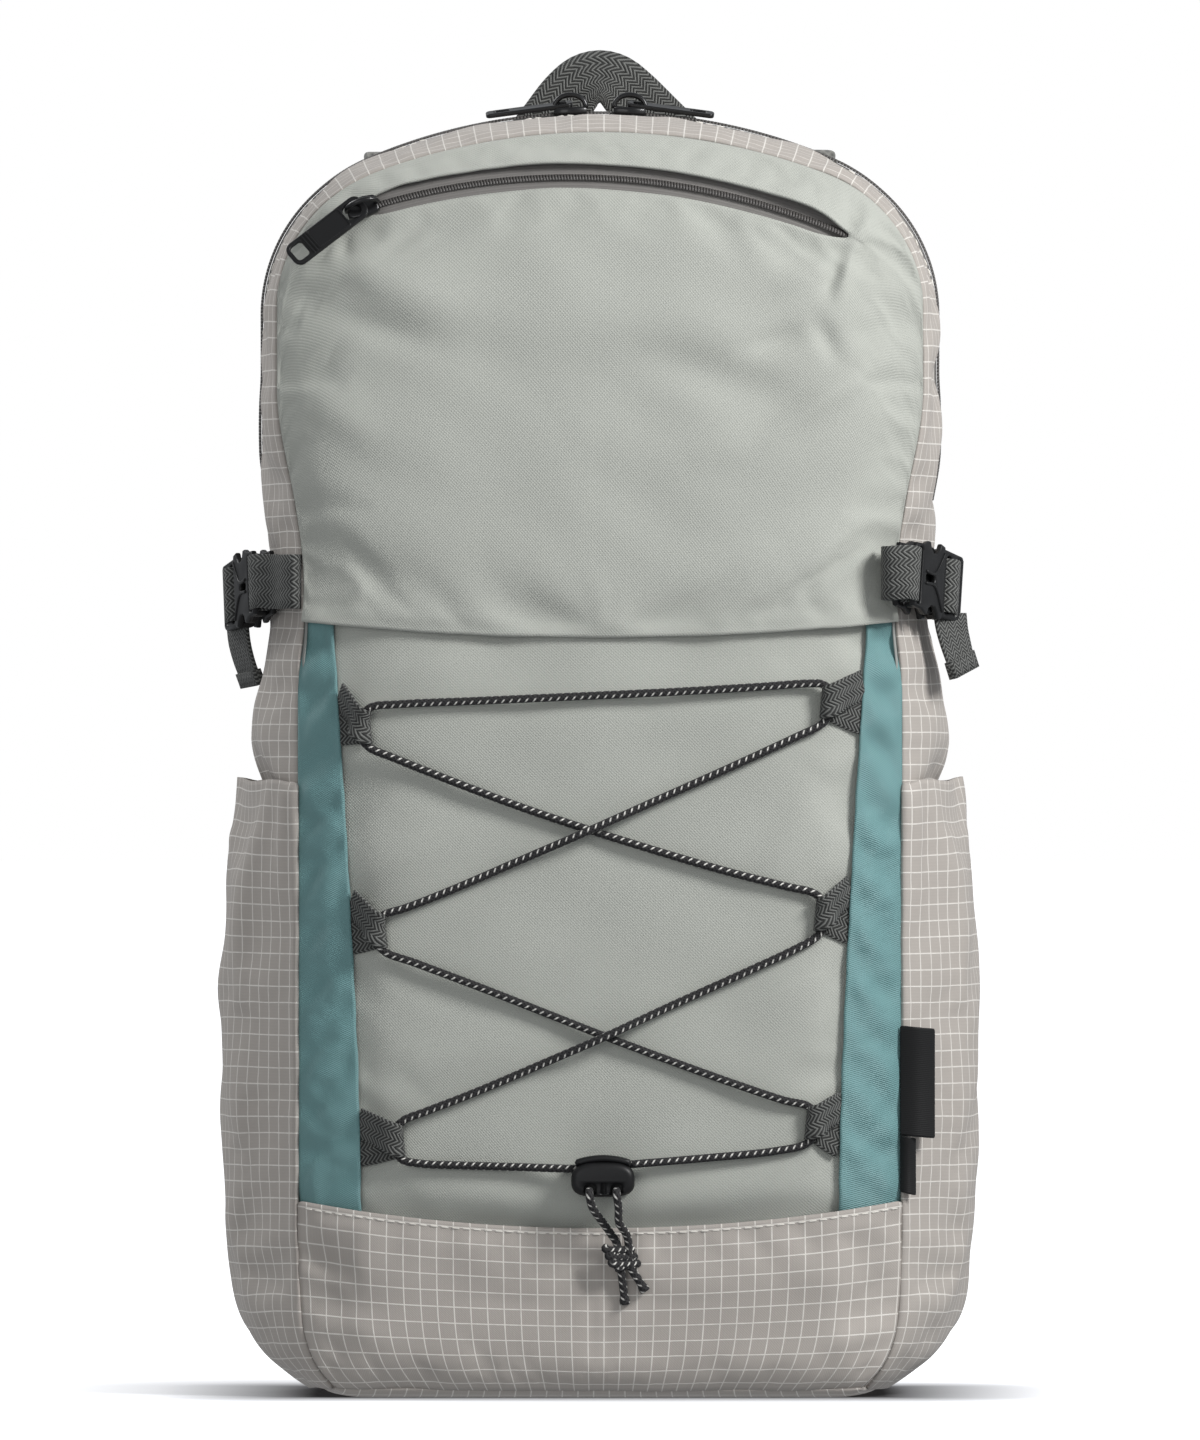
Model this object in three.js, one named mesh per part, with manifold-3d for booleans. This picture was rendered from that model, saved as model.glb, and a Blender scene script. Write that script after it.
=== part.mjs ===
// A soft daypack: a padded, lofted fabric body with a hinged top-front lid, laced front,
// two bottle pockets, two compression straps and a shoulder harness.
// Millimetres. +Z is up, the front faces -Y, +X is to the right seen from the front.
// The origin is on the floor at the middle of the body.
import * as THREE from 'three';
import { mergeVertices } from 'three/addons/utils/BufferGeometryUtils.js';
import Module from 'manifold-3d';

const wasm = await Module();
wasm.setup();

// ---------------------------------------------------------------- driving dimensions

const TOP_HEIGHT = 467; // front seam of the arch at the middle
const TOP_RADIUS = 235; // long arc over the top
const CORNER_RADIUS = 55; // shoulder arc
const UPPER_HALF_WIDTH = 119.5; // front seam beside the upper panel
const LOWER_HALF_WIDTH = 111; // front seam beside the lower panels
const SHOULDER_HEIGHT = 400; // where the shoulder arc begins
const BASE_RIM = 14; // height of the base panel's turned-up rim
const FRONT_Y = -66; // front seam of the lower body
const BACK_Y = 70; // back seam
const TOP_LEAN = 18; // how far the front seam leans back at the top
const PILLOW = 10; // how far the front stands proud of its seam
const PILLOW_REACH = 14; // how fast it rises from the seam
const BROAD_CROWN = 4;
const SIDE_CROWN = 12; // side panels past the front seam
const TOP_CROWN = 7; // gusset past the front seam
const BACK_TUCK = 3; // back seam inside the front seam

const FOLD_HEIGHT = 330; // the lid folds here, where the main zip ends
const ZIP_Y = 6; // the main zip's line over the top
const ZIP_HALF = 5;
const HEM_HEIGHT = 280; // lower edge of the upper front panel
const HEM_LAP = 3.2; // how far the lower panel tucks in behind the hem

const SKIN = 1.6; // fabric with its lining
const GAP = 0.3;
const WEB_WIDTH = 20;
const WEB_THICK = 1.6;
const CORD_RADIUS = 1.5;

const POCKET_RIM = 227; // bottle pocket mouth
const POCKET_DEPTH = 14;
const POCKET_SKIN = 1.4;

const SAGE = '#b4b6ac';
const RIPSTOP = '#a8a298';
const TEAL = '#6f9a9a';
const WEBBING = '#3c3e3c';
const TAPE = '#6e6c69';
const PLASTIC = '#2d2e30';
const METAL = '#3a3b3c';
const MESH_FABRIC = '#8d8c87';
const LINING = '#9a9c98';

// ---------------------------------------------------------------- the body's form

const { sin, cos, sqrt, abs, exp, min, max, PI } = Math;
const lerp = THREE.MathUtils.lerp;
const step = (from, to, x) => THREE.MathUtils.smoothstep(x, from, to);

const TOP_CENTRE = TOP_HEIGHT - TOP_RADIUS;
const CORNER_CENTRE = UPPER_HALF_WIDTH - CORNER_RADIUS;
const CORNER_TILT = Math.atan2(SHOULDER_HEIGHT - TOP_CENTRE, CORNER_CENTRE);
const TOP_ARC = TOP_RADIUS * (PI / 2 - CORNER_TILT); // half of the long arc
const SHOULDER_ARC = TOP_ARC + CORNER_RADIUS * CORNER_TILT;

// Half the width of the front seam below the shoulders.
function seamHalfWidth(z) {
  const foot = 6 * exp((BASE_RIM - z) / 12);
  const cinch = 1.5 * (step(265, 285, z) - step(300, 325, z));
  const shoulder = (UPPER_HALF_WIDTH - LOWER_HALF_WIDTH) * step(312, 372, z);
  return LOWER_HALF_WIDTH - foot - cinch + shoulder;
}

// Height of the front seam over a place x across the top.
function seamHeight(x) {
  const side = min(abs(x), UPPER_HALF_WIDTH);
  if (side < TOP_RADIUS * cos(CORNER_TILT)) {
    return TOP_CENTRE + sqrt(TOP_RADIUS ** 2 - side ** 2);
  }
  return SHOULDER_HEIGHT + sqrt(max(0, CORNER_RADIUS ** 2 - (side - CORNER_CENTRE) ** 2));
}

// A point of the front seam, and its outward direction, at a run from the top's middle.
function seamPoint(run) {
  const side = Math.sign(run) || 1;
  const along = abs(run);
  if (along < TOP_ARC) {
    const turn = along / TOP_RADIUS;
    const x = side * TOP_RADIUS * sin(turn);
    return { x, z: TOP_CENTRE + TOP_RADIUS * cos(turn), nx: side * sin(turn), nz: cos(turn) };
  }
  if (along < SHOULDER_ARC) {
    const turn = CORNER_TILT - (along - TOP_ARC) / CORNER_RADIUS;
    const x = side * (CORNER_CENTRE + CORNER_RADIUS * cos(turn));
    const z = SHOULDER_HEIGHT + CORNER_RADIUS * sin(turn);
    return { x, z, nx: side * cos(turn), nz: sin(turn) };
  }
  const z = SHOULDER_HEIGHT - (along - SHOULDER_ARC);
  return { x: side * seamHalfWidth(z), z, nx: side, nz: 0 };
}

const runAtHeight = (z) => SHOULDER_ARC + SHOULDER_HEIGHT - z;

function seamDepth(z) {
  const rise = max(0, z - HEM_HEIGHT) / (TOP_HEIGHT - HEM_HEIGHT);
  return FRONT_Y + TOP_LEAN * rise ** 1.5;
}

// The front's crowned surface.
function frontDepth(x, z) {
  const half = z > SHOULDER_HEIGHT ? UPPER_HALF_WIDTH : seamHalfWidth(z);
  const rise = (distance) => 1 - exp(-max(0, distance) / PILLOW_REACH);
  const pillow = PILLOW * rise(half - abs(x)) * rise(seamHeight(x) - z) * rise(z - BASE_RIM + 4);
  const crown = BROAD_CROWN * (1 - (x / half) ** 2) * rise(seamHeight(x) - z);
  return seamDepth(z) - pillow - max(0, crown);
}

// A point of the side and top skin, at a run over the top and a depth y.
function skinPoint(run, y, offset = 0) {
  const seam = seamPoint(run);
  const front = seamDepth(seam.z);
  const share = (y - front) / (BACK_Y - front);
  const crown = 9 + (SIDE_CROWN - 9) * step(BASE_RIM, 40, seam.z);
  const height = crown - (SIDE_CROWN - TOP_CROWN) * step(310, 380, seam.z);
  const arch = 1 - abs(2 * share - 1) ** 2.5;
  const out = height * arch - BACK_TUCK * max(0, share) ** 2 + offset;
  return new THREE.Vector3(seam.x + seam.nx * out, y, seam.z + seam.nz * out);
}

// ---------------------------------------------------------------- solids

function solidGeometry(points, faces) {
  const geometry = new THREE.BufferGeometry().setFromPoints(points);
  geometry.setIndex(faces);
  return geometry;
}

// A fabric panel: patch(u, v) gives its outer face, and the inner face lies inside it.
function panel(patch, columns, rows, thickness = SKIN) {
  const points = [];
  const nudge = 1e-3;
  for (const layer of [0, 1]) {
    for (let row = 0; row <= rows; row++) {
      for (let column = 0; column <= columns; column++) {
        const u = column / columns;
        const v = row / rows;
        const point = patch(u, v);
        const alongU = patch(min(1, u + nudge), v).sub(patch(max(0, u - nudge), v));
        const alongV = patch(u, min(1, v + nudge)).sub(patch(u, max(0, v - nudge)));
        const outward = alongU.cross(alongV).normalize();
        points.push(point.addScaledVector(outward, -thickness * layer));
      }
    }
  }
  const width = columns + 1;
  const inner = width * (rows + 1);
  const faces = [];
  const quad = (a, b, c, d) => faces.push(a, b, c, a, c, d);
  for (let row = 0; row < rows; row++) {
    for (let column = 0; column < columns; column++) {
      const a = row * width + column;
      quad(a, a + 1, a + 1 + width, a + width);
      quad(inner + a, inner + a + width, inner + a + 1 + width, inner + a + 1);
    }
  }
  const rim = [];
  for (let column = 0; column < columns; column++) rim.push(column);
  for (let row = 0; row < rows; row++) rim.push(row * width + columns);
  for (let column = columns; column > 0; column--) rim.push(rows * width + column);
  for (let row = rows; row > 0; row--) rim.push(row * width);
  rim.forEach((corner, index) => {
    const next = rim[(index + 1) % rim.length];
    quad(corner, inner + corner, inner + next, next);
  });
  return solidGeometry(points, faces);
}

// A closed solid through rings of the same number of points.
function loft(rings) {
  const points = rings.flat();
  const count = rings[0].length;
  const last = (rings.length - 1) * count;
  const faces = [];
  for (let ring = 0; ring < rings.length - 1; ring++) {
    for (let corner = 0; corner < count; corner++) {
      const a = ring * count + corner;
      const b = ring * count + ((corner + 1) % count);
      faces.push(a, b, b + count, a, b + count, a + count);
    }
  }
  for (let corner = 1; corner < count - 1; corner++) {
    faces.push(0, corner + 1, corner);
    faces.push(last, last + corner, last + corner + 1);
  }
  return outward(solidGeometry(points, faces));
}

// Turns the faces round where they point into the solid.
function outward(geometry) {
  const position = geometry.getAttribute('position');
  const index = geometry.getIndex().array;
  const corner = [0, 1, 2].map(() => new THREE.Vector3());
  let volume = 0;
  for (let face = 0; face < index.length; face += 3) {
    corner.forEach((point, k) => point.fromBufferAttribute(position, index[face + k]));
    volume += corner[0].dot(corner[1].clone().cross(corner[2]));
  }
  if (volume < 0) geometry.setIndex([...index].reverse());
  return geometry;
}

// Webbing through stations { at, across }, across being its width's direction.
function ribbon(stations, width = WEB_WIDTH, thickness = WEB_THICK) {
  const centres = stations.map((station) => new THREE.Vector3(...station.at));
  const rings = stations.map((station, index) => {
    const before = centres[max(0, index - 1)];
    const after = centres[min(centres.length - 1, index + 1)];
    const along = after.clone().sub(before).normalize();
    const side = new THREE.Vector3(...station.across);
    side.addScaledVector(along, -side.dot(along)).normalize();
    const face = along.clone().cross(side).normalize();
    const half = (station.width ?? width) / 2;
    const thick = (station.thickness ?? thickness) / 2;
    const corner = (a, b) => centres[index].clone().addScaledVector(side, a).addScaledVector(face, b);
    if (thick < 3) {
      return [corner(-half, -thick), corner(half, -thick), corner(half, thick), corner(-half, thick)];
    }
    const bevel = 0.55 * thick;
    return [
      corner(-half + bevel, -thick), corner(half - bevel, -thick), corner(half, -thick + bevel),
      corner(half, thick - bevel), corner(half - bevel, thick), corner(-half + bevel, thick),
      corner(-half, thick - bevel), corner(-half, -thick + bevel),
    ];
  });
  return loft(rings);
}

// A curve that is stepped at its own points, so that a tube keeps its tight bends.
class Route extends THREE.CatmullRomCurve3 {
  getPointAt(u) {
    return this.getPoint(u);
  }

  getTangentAt(u) {
    return this.getTangent(u);
  }
}

function tube(points, radius = CORD_RADIUS, sides = 8) {
  const curve = new Route(points.map((p) => new THREE.Vector3(...p)), false, 'centripetal');
  const section = new THREE.Shape();
  for (let side = 0; side < sides; side++) {
    const turn = (2 * PI * side) / sides;
    const place = [radius * cos(turn), radius * sin(turn)];
    if (side === 0) section.moveTo(...place);
    else section.lineTo(...place);
  }
  const steps = points.length - 1;
  return new THREE.ExtrudeGeometry(section, { steps, extrudePath: curve, bevelEnabled: false });
}

function roundedRectangle(width, height, radius) {
  const shape = new THREE.Shape();
  const x = width / 2;
  const y = height / 2;
  shape.moveTo(-x + radius, -y);
  shape.lineTo(x - radius, -y);
  shape.absarc(x - radius, -y + radius, radius, -PI / 2, 0);
  shape.lineTo(x, y - radius);
  shape.absarc(x - radius, y - radius, radius, 0, PI / 2);
  shape.lineTo(-x + radius, y);
  shape.absarc(-x + radius, y - radius, radius, PI / 2, PI);
  shape.lineTo(-x, -y + radius);
  shape.absarc(-x + radius, -y + radius, radius, PI, 1.5 * PI);
  return shape;
}

// A plate of an outline, centred on its own thickness.
function plate(shape, thickness, bevel = 0, curveSegments = 4) {
  const options = { depth: thickness - 2 * bevel, curveSegments, steps: 1, bevelEnabled: bevel > 0 };
  Object.assign(options, { bevelThickness: bevel, bevelSize: bevel, bevelOffset: -bevel, bevelSegments: 1 });
  return new THREE.ExtrudeGeometry(shape, options).translate(0, 0, bevel - thickness / 2);
}

const block = (x, y, z, at = [0, 0, 0]) => new THREE.BoxGeometry(x, y, z).translate(...at);

function toSolid(geometry) {
  const bare = geometry.clone();
  bare.deleteAttribute('normal');
  bare.deleteAttribute('uv');
  const merged = mergeVertices(bare, 1e-4);
  return new wasm.Manifold(new wasm.Mesh({
    numProp: 3,
    vertProperties: new Float32Array(merged.getAttribute('position').array),
    triVerts: new Uint32Array(merged.getIndex().array),
  }));
}

function cut(base, joined, removed) {
  let solid = toSolid(base);
  for (const piece of joined) solid = solid.add(toSolid(piece));
  for (const piece of removed) solid = solid.subtract(toSolid(piece));
  const mesh = solid.getMesh();
  const geometry = new THREE.BufferGeometry();
  geometry.setAttribute('position', new THREE.BufferAttribute(new Float32Array(mesh.vertProperties), 3));
  geometry.setIndex([...mesh.triVerts]);
  return geometry;
}

// ---------------------------------------------------------------- scene graph

const group = new THREE.Group();
const lid = new THREE.Group();
group.add(lid);

function add(parent, name, geometry, color, roughness = 0.85, metalness = 0) {
  const mesh = new THREE.Mesh(geometry, new THREE.MeshStandardMaterial({ color, roughness, metalness }));
  mesh.name = name;
  parent.add(mesh);
  return mesh;
}

const bothSides = [['left', -1], ['right', 1]];

// ---------------------------------------------------------------- front panels

// The teal strips' inner edge.
const stripEdge = (z) => 88.5 + 10 * max(0, (z - 90) / 195) ** 1.3;
const baseEdge = (x) => 62.5 + 10 * (x / LOWER_HALF_WIDTH) ** 2;
const tuck = (z) => HEM_LAP * step(245, HEM_HEIGHT, z);

// A patch of the front between two upright edges and a lower and an upper edge.
function frontPatch(left, right, bottom, top, behind = () => 0) {
  return (u, v) => {
    const guess = lerp(left(200), right(200), u);
    const z = lerp(bottom(guess), top(guess), v);
    const x = lerp(left(z), right(z), u);
    return new THREE.Vector3(x, frontDepth(x, z) + behind(z), z);
  };
}

function addLowerFront() {
  const top = () => HEM_HEIGHT + 18;
  const above = (x) => baseEdge(x) + GAP;
  const inner = (z) => stripEdge(z) - GAP;
  const outer = (z) => seamHalfWidth(z) - 0.5;
  const middle = frontPatch((z) => -inner(z), inner, above, top, tuck);
  add(group, 'lower_front_panel', panel(middle, 12, 8), SAGE);
  const right = frontPatch(stripEdge, outer, above, top, tuck);
  const left = frontPatch((z) => -outer(z), (z) => -stripEdge(z), above, top, tuck);
  add(group, 'teal_strip_left', panel(left, 4, 8), TEAL);
  add(group, 'teal_strip_right', panel(right, 4, 8), TEAL);
  const foot = () => BASE_RIM + 2.4;
  const base = frontPatch((z) => -outer(z), outer, foot, baseEdge);
  add(group, 'front_base_panel', panel(base, 14, 4), RIPSTOP);
}

const hemEdge = (x) => HEM_HEIGHT + 5 * (x / LOWER_HALF_WIDTH) ** 2;

function addHem() {
  const outer = (z) => seamHalfWidth(z) - 0.5;
  const patch = frontPatch((z) => -outer(z), outer, hemEdge, () => FOLD_HEIGHT - GAP / 2);
  add(group, 'upper_panel_hem', panel(patch, 14, 4), SAGE);
}

function addLidPanel() {
  const edge = UPPER_HALF_WIDTH - 0.5;
  const patch = (u, v) => {
    const across = edge * sin((u - 0.5) * PI);
    const z = lerp(FOLD_HEIGHT + GAP / 2, seamHeight(across) - 0.6, v);
    const x = across * (z > SHOULDER_HEIGHT ? 1 : (seamHalfWidth(z) - 0.5) / edge);
    return new THREE.Vector3(x, frontDepth(x, z), z);
  };
  add(lid, 'lid_panel', panel(patch, 14, 8), SAGE);
  const backing = (u, v) => {
    const across = 104 * sin((u - 0.5) * PI);
    const z = lerp(FOLD_HEIGHT + 8, seamHeight(across / 104 * edge) - 14, v);
    const x = across * (z > SHOULDER_HEIGHT ? 1 : (seamHalfWidth(z) - 8) / edge);
    return new THREE.Vector3(x, frontDepth(x, z) + 5, z);
  };
  add(lid, 'pocket_lining', panel(backing, 8, 4, 0.8), LINING);
}

// ---------------------------------------------------------------- sides, gussets and base

function skinPatch(fromRun, toRun, fromY, toY, offset = () => 0) {
  return (u, v) => {
    const run = lerp(fromRun, toRun, u);
    const seam = seamPoint(run);
    const y = lerp(fromY(seam.z), toY(seam.z), v);
    return skinPoint(run, y, offset(seam.z, y));
  };
}

const frontEdge = (z) => seamDepth(z) + 2.6;
const level = (y) => () => y;
const foldRun = runAtHeight(FOLD_HEIGHT);
const rimRun = runAtHeight(BASE_RIM + 2.4);
const back = level(BACK_Y - 0.5);

function addSides() {
  const lower = skinPatch(foldRun + GAP / 2, rimRun, frontEdge, back);
  const leftLower = skinPatch(-rimRun, -foldRun - GAP / 2, frontEdge, back);
  add(group, 'side_panel_right', panel(lower, 12, 8), RIPSTOP);
  add(group, 'side_panel_left', panel(leftLower, 12, 8), RIPSTOP);
}

function addGussets() {
  const reach = foldRun - GAP / 2;
  const strip = (fromY, toY) => skinPatch(-reach, reach, fromY, toY);
  const lidGusset = strip(frontEdge, level(ZIP_Y - ZIP_HALF - GAP / 2));
  const frontTape = strip(level(ZIP_Y - ZIP_HALF + GAP / 2), level(ZIP_Y - GAP / 2));
  const rearTape = strip(level(ZIP_Y + GAP / 2), level(ZIP_Y + ZIP_HALF - GAP / 2));
  const rearGusset = strip(level(ZIP_Y + ZIP_HALF + GAP / 2), back);
  add(lid, 'lid_gusset', panel(lidGusset, 26, 2), RIPSTOP);
  add(lid, 'main_zip_front_tape', panel(frontTape, 26, 1), TAPE);
  add(group, 'main_zip_rear_tape', panel(rearTape, 26, 1), TAPE);
  add(group, 'rear_gusset', panel(rearGusset, 26, 3), RIPSTOP);
}

function addBase() {
  const rise = (share) => BASE_RIM * max(0, (abs(share) - 0.86) / 0.14) ** 2;
  const patch = (u, v) => {
    const share = 2 * v - 1;
    const depth = 2 * u - 1;
    const y = lerp(seamDepth(BASE_RIM) + 2.6, BACK_Y - 0.5, u);
    const half = skinPoint(runAtHeight(BASE_RIM), y).x;
    const x = share * half;
    const front = frontDepth(x * 0.98, BASE_RIM) + 0.4;
    const placed = lerp(front, BACK_Y - 0.5, u);
    return new THREE.Vector3(x, placed, max(rise(share), rise(depth)));
  };
  add(group, 'base_panel', panel(patch, 14, 12, 2), RIPSTOP);
}

// ---------------------------------------------------------------- bottle pockets

function addBottlePockets() {
  const swell = (z) => POCKET_DEPTH * (1 - exp(-(z - 10) / 14)) - 5.2 * step(150, POCKET_RIM, z);
  const arch = (z, y) => {
    const share = (y - FRONT_Y) / (BACK_Y - FRONT_Y);
    return 1 - abs(2 * share - 1) ** 3;
  };
  const offset = (z, y) => POCKET_SKIN + 0.5 + swell(z) * max(0, arch(z, y));
  const top = runAtHeight(POCKET_RIM);
  const bottom = runAtHeight(BASE_RIM + 2);
  const from = level(FRONT_Y + 3);
  const to = level(BACK_Y - 2);
  const right = skinPatch(top, bottom, from, to, offset);
  const left = skinPatch(-bottom, -top, from, to, offset);
  add(group, 'bottle_pocket_right', panel(right, 9, 8, POCKET_SKIN), RIPSTOP);
  add(group, 'bottle_pocket_left', panel(left, 9, 8, POCKET_SKIN), RIPSTOP);
}

// ---------------------------------------------------------------- back

function backOutline(inset, bottom) {
  const shape = new THREE.Shape();
  const last = runAtHeight(bottom);
  const steps = 36;
  for (let index = 0; index <= steps; index++) {
    const seam = seamPoint(lerp(-last, last, index / steps));
    const place = [seam.x - seam.nx * inset, seam.z - seam.nz * inset];
    if (index === 0) shape.moveTo(...place);
    else shape.lineTo(...place);
  }
  return shape;
}

// Stands a plate drawn in X and Z upright, its faces along Y, its front face at y.
function upright(geometry, thickness, y) {
  return geometry.rotateX(PI / 2).translate(0, y + thickness / 2, 0);
}

const PAD_THICK = 14;
const PAD_Y = BACK_Y + 2 + GAP;

function addBack() {
  add(group, 'back_panel', upright(plate(backOutline(BACK_TUCK, BASE_RIM), 2), 2, BACK_Y), RIPSTOP);
  const pad = plate(roundedRectangle(196, 368, 34), PAD_THICK, 3, 4);
  add(group, 'back_pad', upright(pad, PAD_THICK, PAD_Y).translate(0, 0, 244), MESH_FABRIC);
  const sheet = plate(roundedRectangle(186, 396, 30), 1.5, 0, 3);
  add(group, 'frame_sheet', upright(sheet, 1.5, BACK_Y - 2.1).translate(0, 0, 226), '#e6e6e2', 0.5);
  const sleeve = plate(roundedRectangle(188, 262, 12), 1.6, 0, 3);
  add(group, 'laptop_sleeve', upright(sleeve, 1.6, 47).translate(0, 0, 152), LINING);
}

// ---------------------------------------------------------------- shoulder harness

function addShoulderStraps() {
  const centre = [
    [57, 78.5, 437], [57.5, 80.5, 448], [58.5, 86, 459], [59.5, 94, 462.5],
    [60.5, 102, 457.5], [61.5, 107, 445], [62.5, 109, 425], [65.5, 110, 390], [69.5, 110, 350], [74, 109, 310], [78.5, 108, 270], [82, 107, 230],
    [84, 105, 190], [84.5, 103, 160], [84, 101, 136],
  ];
  const widths = [62, 63, 64, 65, 65, 65, 65, 64, 62, 60, 57, 54, 50, 45, 34];
  const thicknesses = [7, 7, 7, 7.5, 8, 9, 10, 12, 12, 12, 12, 12, 11, 10, 7];
  for (const [side, sign] of bothSides) {
    const stations = centre.map(([x, y, z], index) => ({
      at: [sign * x, y, z],
      across: [1, 0, 0],
      width: widths[index],
      thickness: thicknesses[index],
    }));
    add(group, `shoulder_strap_${side}`, ribbon(stations), MESH_FABRIC);
    addStrapHardware(side, sign);
  }
}

const LOCK_TOP = 133; // the ladder lock's hinge line
const LOCK_Y = 105.4;

function addStrapHardware(side, sign) {
  const outline = roundedRectangle(27, 24, 3);
  for (const height of [-6.5, 1.5]) {
    const corners = roundedRectangle(20.6, 3, 0.8).getPoints(2);
    outline.holes.push(new THREE.Path(corners.map((p) => p.clone().setY(p.y + height))));
  }
  const ladder = upright(plate(outline, 4, 0, 2), 4, LOCK_Y).translate(sign * 84, 0, LOCK_TOP - 13);
  add(group, `ladder_lock_${side}`, ladder, PLASTIC, 0.5);
  const tail = [
    { at: [sign * 84, 103.8, 131], across: [1, 0, 0] },
    { at: [sign * 84.5, 103.4, 112], across: [1, 0, 0] },
    { at: [sign * 88, 99.6, 90], across: [1, 0, sign * 0.25] },
    { at: [sign * 94, 92, 70], across: [1, 0, sign * 0.4] },
    { at: [sign * 99, 83.6, 54], across: [1, 0, sign * 0.5] },
    { at: [sign * 101, 77.2, 43], across: [1, 0, sign * 0.5] },
  ];
  add(group, `strap_webbing_${side}`, ribbon(tail), WEBBING);
  const anchor = new THREE.Shape();
  anchor.moveTo(sign * 84, 22);
  anchor.lineTo(sign * 108, 22);
  anchor.lineTo(sign * 110, 52);
  anchor.lineTo(sign * 98, 52);
  anchor.closePath();
  add(group, `strap_anchor_${side}`, upright(plate(anchor, 2.4), 2.4, PAD_Y), RIPSTOP);
}

// ---------------------------------------------------------------- grab handle

const HANDLE_Y = 66;

function addGrabHandle() {
  const stations = [
    { at: [-21, HANDLE_Y, 467.8], across: [1, 0, 0] },
    { at: [-20.8, HANDLE_Y, 474], across: [1, 0, -0.1] },
    { at: [-14, HANDLE_Y, 483.5], across: [0.8, -0.1, -0.6] },
    { at: [-7, HANDLE_Y, 489.4], across: [0.4, -0.3, -0.9], width: 22 },
    { at: [2.5, HANDLE_Y, 491.4], across: [0, -0.4, -1], width: 20 },
    { at: [12, HANDLE_Y, 489.2], across: [-0.4, -0.3, -0.9], width: 22 },
    { at: [19.5, HANDLE_Y, 483], across: [-0.8, -0.1, -0.6] },
    { at: [25.8, HANDLE_Y, 474], across: [-1, 0, -0.1] },
    { at: [26, HANDLE_Y, 467.6], across: [-1, 0, 0] },
  ];
  add(group, 'grab_handle', ribbon(stations, 24, 2), WEBBING);
}

// ---------------------------------------------------------------- zips

// A zip slider lying in X (along the zip) and Y (across it), its top towards +Z.
function sliderGeometry() {
  const body = plate(roundedRectangle(12, 8.4, 2.4), 2.6, 0.4, 2).translate(0, 0, 1.3);
  const bridge = plate(roundedRectangle(8.6, 5.2, 2.2), 2, 0, 2).rotateX(PI / 2).translate(0, 0, PULLER_LIFT);
  const hollow = block(4.8, 4, 3.2, [0, 0, PULLER_LIFT]);
  return cut(body, [bridge], [hollow]);
}

// A puller lying along +X; its end bar, on the X origin, passes under the slider's bridge.
function pullerGeometry(length, width, thick, eyeWidth) {
  const outline = roundedRectangle(length, width, width * 0.3);
  const middle = length / 2 - 1;
  const corners = [[1.2, -1], [6, -1], [6, 1], [1.2, 1]];
  const eye = corners.map(([x, y]) => new THREE.Vector2(x - middle, (y * eyeWidth) / 2));
  outline.holes.push(new THREE.Path(eye));
  return plate(outline, thick, 0, 2).translate(middle, 0, 0);
}

const PULLER_LIFT = 4.2; // a puller's end bar above its slider's foot
const MAIN_ZIP_RADIUS = TOP_RADIUS + TOP_CROWN + 0.5;
const MAIN_SLIDER_ANGLE = 2.6; // degrees either side of the top's middle

function addMainSliders() {
  for (const [side, sign] of bothSides) {
    const turn = THREE.MathUtils.degToRad(sign * MAIN_SLIDER_ANGLE);
    const place = new THREE.Group();
    place.position.set(MAIN_ZIP_RADIUS * sin(turn), ZIP_Y, TOP_CENTRE + MAIN_ZIP_RADIUS * cos(turn));
    place.rotation.set(0, turn, sign < 0 ? PI : 0, 'YXZ');
    lid.add(place);
    add(place, `main_slider_${side}`, sliderGeometry(), METAL, 0.4, 0.8);
    const puller = add(place, `main_puller_${side}`, pullerGeometry(29, 5.4, 1.2, 3.2), METAL, 0.4, 0.8);
    puller.position.set(0, 0, PULLER_LIFT);
  }
}

// The pocket zip's arc; angles are from upright, and its plane turns a little to the left.
const POCKET_ZIP = { x: -11, y: -60.4, z: 196, radius: 253.5, from: -18.6, to: 24.2, skew: -0.0225 };
const POCKET_TAPE_HALF = 4.5;
const SLIDER_PITCH = 66; // the slider lies on the crowned front

function addPocketZip() {
  const { x, y, z, radius, from, to, skew } = POCKET_ZIP;
  const rad = THREE.MathUtils.degToRad;
  const patch = (u, v) => {
    const turn = rad(lerp(from - 0.8, to + 0.6, u));
    const reach = radius + lerp(-POCKET_TAPE_HALF, POCKET_TAPE_HALF, v);
    const place = [x + reach * sin(turn), z + reach * cos(turn)];
    return new THREE.Vector3(place[0], frontDepth(...place) - 1.6, place[1]);
  };
  add(lid, 'pocket_zip_tape', panel(patch, 20, 2, 1), TAPE);
  const centre = new THREE.Group();
  centre.position.set(x, y, z);
  centre.rotation.z = skew;
  lid.add(centre);
  const arm = new THREE.Group();
  arm.rotation.y = rad(from + 0.4);
  centre.add(arm);
  const place = new THREE.Group();
  place.position.set(0, -2.4, radius);
  place.rotation.x = rad(SLIDER_PITCH);
  arm.add(place);
  add(place, 'pocket_slider', sliderGeometry(), METAL, 0.4, 0.8);
  const puller = add(place, 'pocket_puller', pullerGeometry(34, 9.5, 1.6, 6), PLASTIC, 0.5);
  puller.position.set(0, 0, PULLER_LIFT);
  puller.rotation.z = rad(202);
}

// ---------------------------------------------------------------- lacing

// The cord through each loop runs upright; [x, z] is the middle of its stretch in the loop.
const LOOPS = {
  upper_left: [-87.2, 246.6],
  upper_right: [84.2, 256],
  middle_left: [-81.6, 171.6],
  middle_right: [82, 177.8],
  lower_left: [-75, 94.6],
  lower_right: [78.6, 101.2],
};
const LOOP_TAPE = 8;
const LACE_LIFT = 4.2; // the cord's centre before the front panel

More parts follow.
